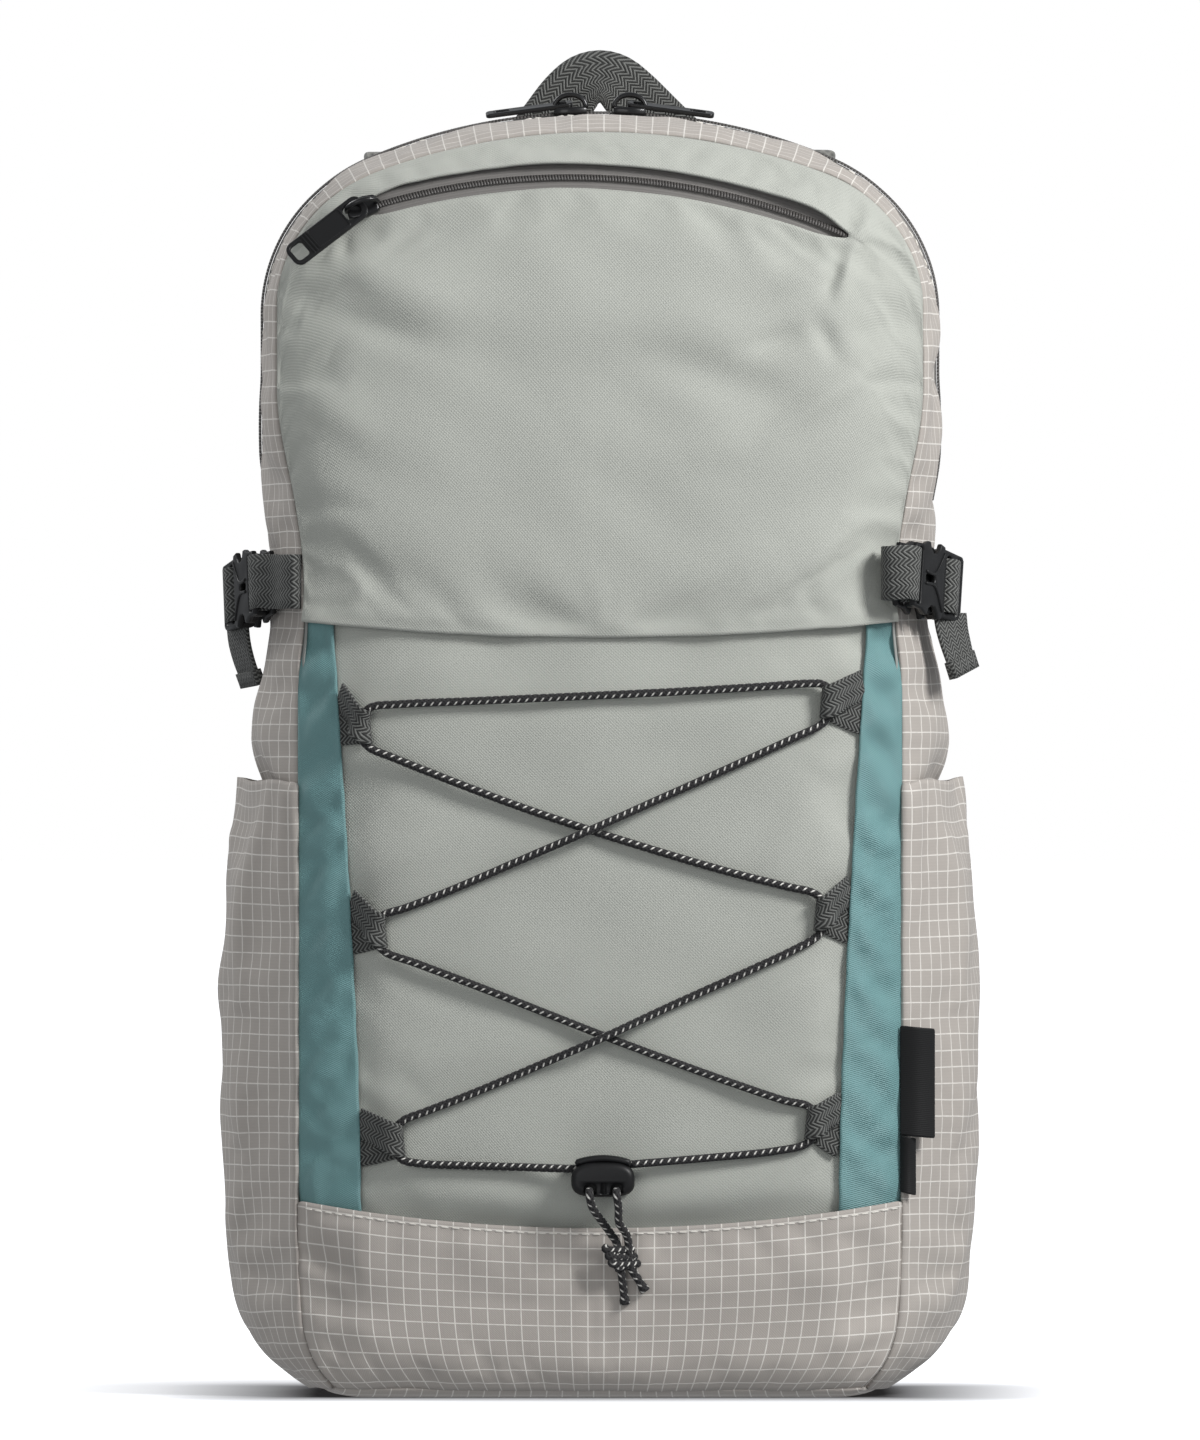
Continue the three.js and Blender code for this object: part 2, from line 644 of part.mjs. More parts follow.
function addLacingLoops() {
  for (const [name, [x, z]] of Object.entries(LOOPS)) {
    const sign = Math.sign(x);
    const reach = stripEdge(z) + 4 - abs(x);
    const outline = new THREE.Shape();
    const bend = 6;
    for (let index = 0; index <= bend; index++) {
      const turn = PI / 2 + (PI * index) / bend;
      const place = [3.7 * cos(turn), 3.7 * sin(turn)];
      if (index === 0) outline.moveTo(...place);
      else outline.lineTo(...place);
    }
    outline.lineTo(reach, -3.7);
    outline.lineTo(reach, -1.7);
    outline.closePath();
    const eye = new THREE.Path();
    eye.absarc(0, 0, 2.4, 0, 2 * PI, true);
    outline.holes.push(eye);
    const loop = plate(outline, LOOP_TAPE, 0, 3);
    // The sewn end points to the teal strip and lies against the front, behind the cord.
    const turned = sign > 0 ? loop.rotateX(PI) : loop.rotateZ(PI);
    const depth = frontDepth(x, z) - LACE_LIFT;
    add(group, `lacing_loop_${name}`, turned.translate(x, depth, z), WEBBING);
  }
}

// The lace from the lock's left side round all six loops and back to its right side.
// Each place is [x, z, the centre's height over the front panel].
const LACE_ROUTE = [
  [-11.2, 84.6, 6.6], [-30, 85.2, 5], [-52, 85.8, 4.2], [-66, 86.4, 4.2], [-72.6, 87.8, 4.2],
  [-75, 90.4, 4.2], [-75, 94.6, 4.2], [-75, 99, 4.2], [-72.4, 102.2, 4.2], [-64, 105.6, 4.2],
  [-46, 112.6, 4.2], [-22, 122.8, 4.6],
  [1.9, 133.2, 7.8], [26, 144.4, 4.6], [54, 157, 4.2], [72, 165.4, 4.2], [79.6, 169.8, 4.2], [82, 173.2, 4.2],
  [82, 177.8, 4.2], [82, 182.4, 4.2], [79, 185.6, 4.2], [68, 188.4, 4.2], [46, 194, 4.2], [20, 201.6, 4.2],
  [-3.7, 209, 4.2], [-30, 217.8, 4.2], [-58, 228.4, 4.2], [-76, 235.6, 4.2], [-84.6, 239.2, 4.2],
  [-87.2, 242, 4.2], [-87.2, 246.6, 4.2], [-87.2, 251.2, 4.2], [-84.2, 254.2, 4.2], [-74, 255.3, 4.2],
  [-44, 256.6, 4.2], [-8, 258.2, 4.2], [28, 259.9, 4.2], [60, 261.8, 4.2], [76, 262.9, 4.2], [82, 262.6, 4.2],
  [84.2, 260.4, 4.2], [84.2, 256, 4.2], [84.2, 251.6, 4.2], [81.6, 248, 4.2], [72, 243.2, 4.2],
  [46, 231.2, 4.2], [20, 219.6, 4.6], [-3.7, 209, 7.8], [-30, 197.6, 4.6], [-56, 186.4, 4.2],
  [-72, 180.2, 4.2],
  [-79.2, 178, 4.2], [-81.6, 175.8, 4.2], [-81.6, 171.6, 4.2], [-81.6, 167.2, 4.2], [-79, 164.2, 4.2],
  [-68, 160.2, 4.2], [-44, 151.2, 4.2], [-20, 141.8, 4.2], [1.9, 133.2, 4.2], [26, 124.2, 4.2],
  [50, 115.6, 4.2], [68, 109.6, 4.2], [76, 107.8, 4.2], [78.6, 105.6, 4.2], [78.6, 101.2, 4.2],
  [78.6, 97, 4.2], [75.6, 93.6, 4.2], [64, 91, 4.2], [40, 88.6, 4.8], [13.3, 86.4, 6.6],
];

function addLace() {
  const route = LACE_ROUTE.map(([x, z, lift]) => [x, frontDepth(x, z) - lift, z]);
  add(group, 'shock_cord', tube(route), '#303132', 0.8);
}

// ---------------------------------------------------------------- cord lock

const LOCK = { x: 1.1, z: 80.3, width: 23.3, height: 13.4, depth: 11 };

function addCordLock() {
  const y = frontDepth(LOCK.x, LOCK.z) - 6.9;
  const place = new THREE.Group();
  place.position.set(LOCK.x, y, LOCK.z);
  group.add(place);
  const pill = plate(roundedRectangle(LOCK.width, LOCK.height, 6.4), LOCK.depth, 1.2, 3).rotateX(PI / 2);
  const well = block(12.6, 6.6, 10, [0, 0, 4.6]);
  const bores = [-5, 5].map((x) => new THREE.CylinderGeometry(1.9, 1.9, 20, 12).translate(x, 0, -3.6));
  add(place, 'cord_lock_body', cut(pill, [], [well, ...bores]), PLASTIC, 0.45);
  const button = cut(block(12, 6, 6.4, [0, 0, 5.2]), [block(15, 7.4, 1.6, [0, 0, 8.9])], []);
  add(place, 'cord_lock_button', button.translate(0, 0, 0.9), PLASTIC, 0.45);
  const wire = [[1.6, 0], [2.4, 0], [2.4, 2.6], [1.6, 2.6], [1.6, 0]].map((p) => new THREE.Vector2(...p));
  const coil = new THREE.LatheGeometry(wire, 12).rotateX(PI / 2);
  add(place, 'cord_lock_spring', coil, METAL, 0.3, 0.9);
}

// The two tails cross under the lock, run into one knot and end below it.
const TAILS = {
  left: [
    [-3.9, 76.7, 12.8], [-3.9, 75.2, 15.4], [-2.8, 70.6, 13.4], [1, 65, 9.4], [4.2, 60.4, 6], [6, 57.6, 5],
  ],
  right: [
    [6.1, 76.7, 12.8], [6.1, 75.2, 15.4], [6.8, 70.6, 13.8], [7, 65, 10.6], [9.6, 60.6, 6.4], [10.4, 57.9, 5],
  ],
};
const KNOT = [8.1, 51.8];
const TAIL_ENDS = [
  [[7.4, 50, 4.2], [8.4, 42, 4], [9.2, 34.8, 3.4]],
  [[9.4, 50, 4.2], [14, 44, 4.4], [16.6, 39.6, 4]],
];

function addTails() {
  const place = ([x, z, lift]) => [x, frontDepth(x, z) - lift, z];
  add(group, 'cord_tail_left', tube(TAILS.left.map(place)), '#303132', 0.8);
  add(group, 'cord_tail_right', tube(TAILS.right.map(place)), '#303132', 0.8);
  const ball = new THREE.IcosahedronGeometry(1, 1).scale(6, 4, 5);
  ball.translate(KNOT[0], frontDepth(...KNOT) - 4.6, KNOT[1]);
  const ends = TAIL_ENDS.map((route) => tube(route.map(place)));
  add(group, 'cord_knot', cut(ball, ends, []), '#303132', 0.8);
}

// ---------------------------------------------------------------- compression straps

const BUCKLE = { width: 28, socket: 25, length: 43, thick: 9 };

function socketGeometry() {
  const outline = new THREE.Shape();
  const half = BUCKLE.width / 2;
  const side = [[1.5, -11.5], [8, -11.5], [12, -half], [BUCKLE.socket, -half + 1]];
  const mirrored = [...side].reverse().map(([x, y]) => [x, -y]);
  outline.setFromPoints([...side, ...mirrored, [0, 9], [0, -9]].map((p) => new THREE.Vector2(...p)));
  const body = plate(outline, BUCKLE.thick, 0.8);
  const cavity = block(16.5, 22, 5, [BUCKLE.socket - 8, 0, 0]);
  const windows = block(8.5, 40, 5, [17, 0, 0]);
  const slot = block(3.4, 20.8, 20, [4.6, 0, 0]);
  return cut(body, [], [cavity, windows, slot]);
}

function plugGeometry() {
  const start = BUCKLE.socket + 0.6;
  const middle = (start + BUCKLE.length) / 2;
  const base = plate(roundedRectangle(BUCKLE.length - start, 25, 2.5), 7, 1, 2).translate(middle, 0, 0);
  const arms = [-1, 1].map((sign) => block(15, 3, 4.2, [start - 6, sign * 9, 0]));
  const catches = [-1, 1].map((sign) => block(6.5, 3, 4.2, [17, sign * 11.4, 0]));
  const tongue = block(15, 5, 4.2, [start - 6, 0, 0]);
  const slots = [31.5, 38].map((x) => block(3.2, 20.6, 20, [x, 0, 0]));
  return cut(base, [...arms, ...catches, tongue], slots);
}

// A buckle starts at `at` and points rearwards along `heading`, a direction in plan.
const BUCKLES = {
  right: { at: [111.8, -75, 303.5], heading: [0.45, 0.893], tilt: -8 },
  left: { at: [-123.8, -48, 300.5], heading: [-0.3, 0.954], tilt: 8 },
};

function addBuckles() {
  for (const [side, sign] of bothSides) {
    const { at, heading, tilt } = BUCKLES[side];
    const along = new THREE.Vector3(heading[0], heading[1], 0).normalize();
    const up = new THREE.Vector3(0, 0, sign);
    const face = along.clone().cross(up);
    const place = new THREE.Group();
    place.position.set(...at);
    place.quaternion.setFromRotationMatrix(new THREE.Matrix4().makeBasis(along, up, face));
    group.add(place);
    const leaning = new THREE.Group();
    leaning.rotation.z = THREE.MathUtils.degToRad(tilt);
    place.add(leaning);
    add(leaning, `buckle_socket_${side}`, socketGeometry(), PLASTIC, 0.45);
    add(leaning, `buckle_plug_${side}`, plugGeometry(), PLASTIC, 0.45);
  }
}

const flat = (points, z) => points.map(([x, y]) => ({ at: [x, y, z], across: [0, 0, 1] }));

function addCompressionStraps() {
  const tabRight = flat([[101.8, -76.5], [106, -78.6], [109.4, -78.5], [111.1, -76.6]], 304);
  const tabLeft = flat([[-112.4, -70.5], [-116.2, -63.5], [-120.2, -56], [-123.1, -49.5]], 302);
  add(group, 'front_tab_right', ribbon(tabRight), WEBBING);
  add(group, 'front_tab_left', ribbon(tabLeft), WEBBING);
  const strapRight = [
    [131.9, -34.4], [132.4, -24], [130.4, -6], [126.8, 12], [122.6, 34], [117.6, 54], [112.4, 67],
  ];
  const strapLeft = [
    [-137.3, -5.3], [-135.2, 6], [-130.6, 21], [-124.6, 38], [-118.6, 54], [-112.4, 67],
  ];
  add(group, 'compression_strap_right', ribbon(flat(strapRight, 297)), WEBBING);
  add(group, 'compression_strap_left', ribbon(flat(strapLeft, 295.5)), WEBBING);
  const tailRight = [
    { at: [130, -44.4, 284.6], across: [0.6, 0.8, 0] },
    { at: [131, -44.6, 279], across: [0.57, 0.82, 0] },
    { at: [133, -44.6, 272], across: [0.48, 0.88, 0] },
    { at: [134.6, -44.2, 267.4], across: [0.42, 0.91, 0] },
  ];
  const tailLeft = [
    { at: [-134.2, -13.4, 280.8], across: [-0.42, 0.91, 0] },
    { at: [-132.6, -13.6, 275], across: [-0.42, 0.91, 0] },
    { at: [-130, -13.6, 267], across: [-0.4, 0.92, 0] },
    { at: [-128, -13.2, 261.6], across: [-0.4, 0.92, 0] },
  ];
  add(group, 'strap_tail_right', ribbon(tailRight, 18), WEBBING);
  add(group, 'strap_tail_left', ribbon(tailLeft, 18), WEBBING);
}

// ---------------------------------------------------------------- seam labels

function addLabels() {
  const outline = new THREE.Shape();
  outline.moveTo(112.2, 75.5);
  outline.lineTo(118, 76.5);
  outline.lineTo(118, 96.3);
  outline.lineTo(125, 96.3);
  outline.lineTo(125, 137);
  outline.lineTo(112.2, 137);
  outline.closePath();
  add(group, 'side_labels', upright(plate(outline, 0.8), 0.8, FRONT_Y - 2.6), '#2b2b2b');
}

// ---------------------------------------------------------------- assembly

addLowerFront();
addHem();
addLidPanel();
addSides();
addGussets();
addBase();
addBottlePockets();
addBack();
addShoulderStraps();
addGrabHandle();
addMainSliders();
addPocketZip();
addLacingLoops();
addLace();
addCordLock();
addTails();
addBuckles();
addCompressionStraps();
addLabels();

export default group;
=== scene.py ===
"""A daypack, seen from the front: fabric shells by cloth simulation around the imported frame."""

import math

import bpy
import numpy as np
from mathutils import Matrix, Vector


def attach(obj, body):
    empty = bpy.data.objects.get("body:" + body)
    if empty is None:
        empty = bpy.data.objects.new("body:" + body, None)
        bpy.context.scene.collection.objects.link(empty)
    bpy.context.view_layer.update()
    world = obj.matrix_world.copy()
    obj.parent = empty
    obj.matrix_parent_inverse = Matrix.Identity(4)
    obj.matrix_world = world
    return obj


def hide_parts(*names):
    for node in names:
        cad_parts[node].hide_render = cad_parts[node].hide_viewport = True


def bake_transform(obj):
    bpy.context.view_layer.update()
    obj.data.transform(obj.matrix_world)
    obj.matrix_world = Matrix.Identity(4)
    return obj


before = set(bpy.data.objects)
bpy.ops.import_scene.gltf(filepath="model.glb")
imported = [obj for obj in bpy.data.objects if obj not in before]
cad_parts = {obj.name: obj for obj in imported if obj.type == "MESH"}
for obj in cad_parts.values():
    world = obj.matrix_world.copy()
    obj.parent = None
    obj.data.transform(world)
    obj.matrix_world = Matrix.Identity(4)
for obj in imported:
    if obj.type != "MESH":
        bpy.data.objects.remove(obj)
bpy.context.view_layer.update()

# ---------------------------------------------------------------- driving sizes, in metres

TOP_HEIGHT = 0.467        # front seam of the arch at the middle
TOP_RADIUS = 0.235
CORNER_RADIUS = 0.055
UPPER_HALF = 0.1195       # half the front seam's width beside the upper panel
LOWER_HALF = 0.111        # and beside the lower panels
SHOULDER = 0.400          # where the shoulder arc begins
RIM = 0.014               # the walls' last upright height
FOOT = 0.003              # where the walls have curled under to meet the base cloth
FRONT_Y = -0.066
BACK_Y = 0.070
FOLD = 0.330              # the lid folds forward here
ZIP_Y = 0.006             # the main zip's line over the top
HEM = 0.280
POCKET_RIM = 0.227
WEB = 0.020
TOP_CENTRE = TOP_HEIGHT - TOP_RADIUS
CORNER_CENTRE = UPPER_HALF - CORNER_RADIUS
CORNER_TILT = math.atan2(SHOULDER - TOP_CENTRE, CORNER_CENTRE)
TOP_ARC = TOP_RADIUS * (math.pi / 2 - CORNER_TILT)
SHOULDER_ARC = TOP_ARC + CORNER_RADIUS * CORNER_TILT
SIDES = (("left", -1), ("right", 1))
scene = bpy.context.scene

# ---------------------------------------------------------------- camera and light

CAMERA_DISTANCE = 8.0
CAMERA_HEIGHT = 0.2495
VIEW_PLANE = -0.030       # the depth at which the picture spans VIEW_WIDTH
VIEW_WIDTH = 0.444
SENSOR = 36


def add_camera():
    data = bpy.data.cameras.new("camera")
    data.sensor_fit = "HORIZONTAL"
    data.sensor_width = SENSOR
    data.lens = SENSOR * CAMERA_DISTANCE / VIEW_WIDTH
    data.clip_end = 60
    camera = bpy.data.objects.new("camera", data)
    camera.location = (0, VIEW_PLANE - CAMERA_DISTANCE, CAMERA_HEIGHT)
    camera.rotation_euler = (math.pi / 2, 0, 0)
    scene.collection.objects.link(camera)
    scene.camera = camera


def add_light(name, place, aim, size, power):
    data = bpy.data.lights.new(name, "AREA")
    data.shape = "DISK"
    data.size = size
    data.energy = power
    light = bpy.data.objects.new(name, data)
    light.location = place
    light.rotation_euler = (Vector(aim) - Vector(place)).to_track_quat("-Z", "Y").to_euler()
    scene.collection.objects.link(light)


def add_world():
    """A pale studio: white to look at, dimmer as a light."""
    world = bpy.data.worlds.new("studio")
    world.use_nodes = True
    nodes = world.node_tree.nodes
    links = world.node_tree.links
    nodes.clear()
    seen, lit = nodes.new("ShaderNodeBackground"), nodes.new("ShaderNodeBackground")
    seen.inputs["Strength"].default_value = 1.0
    seen.inputs["Color"].default_value = (1, 1, 1, 1)
    lit.inputs["Color"].default_value = (0.93, 0.96, 1, 1)
    lit.inputs["Strength"].default_value = 0.40
    path, mix = nodes.new("ShaderNodeLightPath"), nodes.new("ShaderNodeMixShader")
    links.new(path.outputs["Is Camera Ray"], mix.inputs[0])
    links.new(lit.outputs[0], mix.inputs[1])
    links.new(seen.outputs[0], mix.inputs[2])
    links.new(mix.outputs[0], nodes.new("ShaderNodeOutputWorld").inputs[0])
    scene.world = world


def add_studio():
    scene.view_settings.view_transform = "Standard"
    add_camera()
    add_world()
    add_light("key", (1.05, -0.80, 1.05), (0, 0, 0.26), 0.5, 22.5)
    add_light("fill", (-0.9, -2.4, 0.6), (0, 0, 0.25), 1.4, 8)
    add_light("rim", (-1.1, 0.6, 1.5), (0, 0, 0.35), 0.8, 11)


# ---------------------------------------------------------------- the body's form


def smooth(low, high, value):
    share = np.clip((value - low) / (high - low), 0, 1)
    return share * share * (3 - 2 * share)


def lerp(low, high, share):
    return low + (high - low) * share


def run_along(line):
    """Distances along a line of points, from its first."""
    return np.concatenate([[0], np.cumsum(np.linalg.norm(np.diff(line, axis=0), axis=1))])


def at_run(distance, run, table):
    """The place or direction of a table's rows at a distance along a line."""
    return np.array([np.interp(distance, run, table[:, axis]) for axis in range(3)])


def seam_half(z):
    """Half the front seam's width at a height below the shoulders."""
    foot = 0.006 * np.exp((RIM - z) / 0.012)
    cinch = 0.0015 * (smooth(0.265, 0.285, z) - smooth(0.300, 0.325, z))
    return LOWER_HALF - foot - cinch + (UPPER_HALF - LOWER_HALF) * smooth(0.312, 0.372, z)


def seam_height(x):
    side = np.minimum(np.abs(x), UPPER_HALF)
    arch = TOP_CENTRE + np.sqrt(TOP_RADIUS ** 2 - side ** 2)
    corner = SHOULDER + np.sqrt(np.maximum(0, CORNER_RADIUS ** 2 - (side - CORNER_CENTRE) ** 2))
    return np.where(side < TOP_RADIUS * math.cos(CORNER_TILT), arch, corner)


def seam_point(run):
    """Where the front seam is at a run from the top's middle, and its outward direction."""
    side, along = np.where(run < 0, -1.0, 1.0), np.abs(run)
    turn = along / TOP_RADIUS
    tilt = CORNER_TILT - (along - TOP_ARC) / CORNER_RADIUS
    z_side = SHOULDER - (along - SHOULDER_ARC)
    on_top, on_corner = along < TOP_ARC, along < SHOULDER_ARC
    x = np.where(on_top, TOP_RADIUS * np.sin(turn),
                 np.where(on_corner, CORNER_CENTRE + CORNER_RADIUS * np.cos(tilt), seam_half(z_side)))
    z = np.where(on_top, TOP_CENTRE + TOP_RADIUS * np.cos(turn),
                 np.where(on_corner, SHOULDER + CORNER_RADIUS * np.sin(tilt), z_side))
    nx = np.where(on_top, np.sin(turn), np.where(on_corner, np.cos(tilt), 1.0))
    nz = np.where(on_top, np.cos(turn), np.where(on_corner, np.sin(tilt), 0.0))
    return side * x, z, side * nx, nz


def run_at(z):
    return SHOULDER_ARC + SHOULDER - z


def seam_depth(z):
    return FRONT_Y + 0.018 * (np.maximum(0, z - HEM) / (TOP_HEIGHT - HEM)) ** 1.5


def front_depth(x, z):
    """The crowned front."""
    half = np.where(z > SHOULDER, UPPER_HALF, seam_half(z))

    def rise(distance):
        return 1 - np.exp(-np.maximum(0, distance) / 0.014)

    top = rise(seam_height(x) - z)
    pillow = 0.010 * rise(half - np.abs(x)) * top * rise(z - RIM + 0.004)
    return seam_depth(z) - pillow - np.maximum(0, 0.004 * (1 - (x / half) ** 2) * top)


def skin_point(run, y, offset=0.0):
    """A point of the side and top skin, at a run over the top and a depth y."""
    x, z, nx, nz = seam_point(run)
    front = seam_depth(z)
    share = (y - front) / (BACK_Y - front)
    crown = 0.009 + 0.003 * smooth(RIM, 0.040, z) - 0.0082 * smooth(0.310, 0.380, z)
    crown = crown + 0.002 * smooth(0.44, TOP_HEIGHT, z)
    arch = 1 - np.abs(2 * share - 1) ** 2.5
    ridge = 0.0030 * np.exp(-((y - ZIP_Y) / 0.006) ** 2) * smooth(FOLD - 0.010, FOLD + 0.020, z)
    out = crown * arch + ridge - 0.003 * np.maximum(0, share) ** 2 + offset
    return np.stack(np.broadcast_arrays(x + nx * out, y, z + nz * out), -1)


def curl(z):
    """How far the front has curled back under at the foot."""
    share = np.clip((RIM - z) / (RIM - 0.0005), 0, 1)
    return 0.012 * (1 - np.sqrt(1 - share ** 2))


def curled_depth(x, z):
    """The front below the base edge: full, then curled under at the foot."""
    return front_depth(x, np.maximum(z, 0.036)) + curl(z) - 0.0010


def strip_edge(z):
    return 0.0885 + 0.010 * (np.maximum(0, z - 0.090) / 0.195) ** 1.3


def base_edge(x):
    return 0.0625 + 0.010 * (x / LOWER_HALF) ** 2


def hem_edge(x):
    return HEM + 0.005 * (x / LOWER_HALF) ** 2


def ripple(a, b, seed, size, height, waves=7):
    """Soft seeded undulation over a sheet; size is the length of its shortest waves."""
    draw = np.random.RandomState(seed)
    total = 0
    for _ in range(waves):
        turn = draw.uniform(0, 2 * math.pi)
        length = size * draw.uniform(1, 3)
        phase = draw.uniform(0, 2 * math.pi)
        wave = (a * math.cos(turn) + b * math.sin(turn)) * 2 * math.pi / length
        total = total + np.sin(wave + phase) * length / size
    return total * height / waves


def creases(a, b, folds):
    """Heights of fold lines; each fold is its two ends, its width and its height."""
    total = 0
    for (a0, b0), (a1, b1), width, height in folds:
        long = np.array([a1 - a0, b1 - b0])
        share = np.clip(((a - a0) * long[0] + (b - b0) * long[1]) / (long @ long), 0, 1)
        away = np.hypot(a - a0 - share * long[0], b - b0 - share * long[1])
        total = total + height * np.sin(math.pi * (0.12 + 0.76 * share)) * np.exp(-(away / width) ** 2)
    return total


# ---------------------------------------------------------------- materials


class Shader:
    """A material's node tree, with short ways to add what every fabric needs."""

    def __init__(self, name, roughness, metallic=0.0, sheen=0.0, specular=0.5):
        self.material = bpy.data.materials.new(name)
        self.material.use_nodes = True
        self.nodes = self.material.node_tree.nodes
        self.links = self.material.node_tree.links
        self.surface = self.nodes["Principled BSDF"]
        self.surface.inputs["Roughness"].default_value = roughness
        self.surface.inputs["Metallic"].default_value = metallic
        self.surface.inputs["Sheen Weight"].default_value = sheen
        self.surface.inputs["Sheen Roughness"].default_value = 0.5
        self.surface.inputs["Specular IOR Level"].default_value = specular

    def put(self, value, socket):
        if isinstance(value, (int, float, tuple)):
            socket.default_value = value
        else:
            self.links.new(value, socket)

    def node(self, kind, **sockets):
        made = self.nodes.new("ShaderNode" + kind)
        for name, value in sockets.items():
            self.put(value, made.inputs[name.replace("_", " ")])
        return made

    def math(self, operation, first, second=0.0, third=0.0):
        made = self.nodes.new("ShaderNodeMath")
        made.operation = operation
        for value, socket in zip((first, second, third), made.inputs):
            self.put(value, socket)
        return made.outputs[0]

    def weave_axes(self):
        """The sheet's own two directions, in metres."""
        split = self.node("SeparateXYZ", Vector=self.node("TexCoord").outputs["UV"])
        return split.outputs[0], split.outputs[1]

    def object_axes(self):
        split = self.node("SeparateXYZ", Vector=self.node("TexCoord").outputs["Object"])
        return split.outputs

    def wave(self, axis, pitch):
        """A smooth wave from 0 to 1 along an axis, one crest each pitch."""
        turn = self.math("MULTIPLY", axis, 2 * math.pi / pitch)
        return self.math("MULTIPLY_ADD", self.math("SINE", turn), 0.5, 0.5)

    def line(self, axis, pitch, width, soft=0.25):
        """1 on lines of a width at each pitch along an axis, else 0."""
        away = self.math("PINGPONG", axis, pitch / 2)
        near, far = width * (0.5 - soft), width * (0.5 + soft)
        return self.node("MapRange", Value=away, From_Min=near, From_Max=far, To_Min=1, To_Max=0).outputs[0]

    def noise(self, scale, detail=3.0, vector=None):
        made = self.node("TexNoise", Scale=scale, Detail=detail)
        if vector is None:
            vector = self.node("TexCoord").outputs["Object"]
        self.links.new(vector, made.inputs["Vector"])
        return made.outputs["Fac"]

    def blend(self, share, low, high):
        made = self.nodes.new("ShaderNodeMix")
        made.data_type = "RGBA"
        self.put(share, made.inputs[0])
        self.put(low, made.inputs[6])
        self.put(high, made.inputs[7])
        return made.outputs[2]

    def shade(self, colour, share, amount):
        """The colour, darker or lighter by up to amount as share goes from 0 to 1."""
        low = tuple(c * (1 - amount) for c in colour[:3]) + (1.0,)
        high = tuple(min(1, c * (1 + amount)) for c in colour[:3]) + (1.0,)
        return self.blend(share, low, high)

    def rough(self, share, low, high):
        span = self.node("MapRange", Value=share, To_Min=low, To_Max=high)
        self.links.new(span.outputs[0], self.surface.inputs["Roughness"])

    def bump(self, height, depth, strength=1.0):
        """Raises the surface by height times depth, in metres; later calls add to earlier ones."""
        made = self.node("Bump", Height=height, Distance=depth, Strength=strength)
        before = self.surface.inputs["Normal"].links
        if before:
            self.links.new(before[0].from_socket, made.inputs["Normal"])
        self.links.new(made.outputs[0], self.surface.inputs["Normal"])

    def finish(self, colour):
        self.put(colour, self.surface.inputs["Base Color"])
        return self.material


def rgb(red, green, blue):
    """A linear colour from 0-255 display values."""
    def linear(value):
        share = value / 255
        return share / 12.92 if share <= 0.04045 else ((share + 0.055) / 1.055) ** 2.4
    return (linear(red), linear(green), linear(blue), 1.0)


def plain_weave(shader, colour, pitch, depth, amount, slub=0.05):
    """Threads over and under at a pitch, with the uneven tone of spun yarn."""
    across, along = shader.weave_axes()
    warp, weft = shader.wave(across, pitch), shader.wave(along, pitch)
    threads = shader.math("ABSOLUTE", shader.math("SUBTRACT", warp, weft))
    shader.bump(threads, depth, 0.6)
    cloud = shader.noise(38, 4)
    woven, spun = shader.math("MULTIPLY", threads, amount), shader.math("MULTIPLY", cloud, slub * 6)
    tone = shader.math("ADD", woven, spun)
    shader.rough(cloud, 0.66, 0.84)
    return shader.shade(colour, tone, slub + amount)


def sage_cloth():
    shader = Shader("sage_nylon", 0.7, sheen=0.12)
    return shader.finish(plain_weave(shader, rgb(181, 183, 175), 0.0012, 0.00022, 0.10, 0.03))


def teal_cloth():
    shader = Shader("teal_twill", 0.6, sheen=0.15)
    across, along = shader.weave_axes()
    twill = shader.wave(shader.math("ADD", across, shader.math("MULTIPLY", along, 2.2)), 0.0016)
    shader.bump(twill, 0.0002, 0.8)
    cloud = shader.noise(45, 3)
    shader.rough(cloud, 0.45, 0.66)
    tone = shader.math("ADD", shader.math("MULTIPLY", twill, 0.4), shader.math("MULTIPLY", cloud, 0.6))
    return shader.finish(shader.shade(rgb(106, 147, 148), tone, 0.16))


RIP_PITCH = 0.006
RIP_WIDTH = 0.00048


def ripstop_cloth(name, colour):
    """Fine plain weave with a raised off-white grid."""
    shader = Shader(name, 0.72, sheen=0.08)
    across, along = shader.weave_axes()
    body = plain_weave(shader, colour, 0.0009, 0.00008, 0.05, 0.03)
    ribs = shader.wave(across, 0.0012)
    dark = tuple(c * 0.55 for c in colour[:3]) + (1.0,)
    body = shader.blend(shader.math("MULTIPLY", ribs, 0.07), body, dark)
    uneven = shader.noise(420, 2)
    up_lines, cross_lines = (shader.line(axis, RIP_PITCH, RIP_WIDTH) for axis in (across, along))
    grid = shader.math("MAXIMUM", up_lines, cross_lines)
    faded = shader.math("MULTIPLY", grid, shader.math("MULTIPLY_ADD", uneven, 0.8, 0.52))
    shader.bump(grid, 0.00012, 0.7)
    return shader.finish(shader.blend(faded, body, rgb(218, 214, 207)))


def webbing_cloth():
    """Herringbone: diagonal ribs that turn back along the strap's length."""
    shader = Shader("webbing_herringbone", 0.72, sheen=0.06, specular=0.3)
    along, across = shader.weave_axes()
    turn = shader.math("PINGPONG", across, 0.0025)
    ribs = shader.wave(shader.math("ADD", along, turn), 0.0016)
    shader.bump(ribs, 0.0004, 1.0)
    fuzz = shader.noise(300, 3)
    raised = shader.math("POWER", ribs, 1.6)
    tone = shader.math("MULTIPLY_ADD", raised, 0.85, shader.math("MULTIPLY", fuzz, 0.25))
    return shader.finish(shader.blend(tone, rgb(9, 9, 9), rgb(118, 119, 116)))


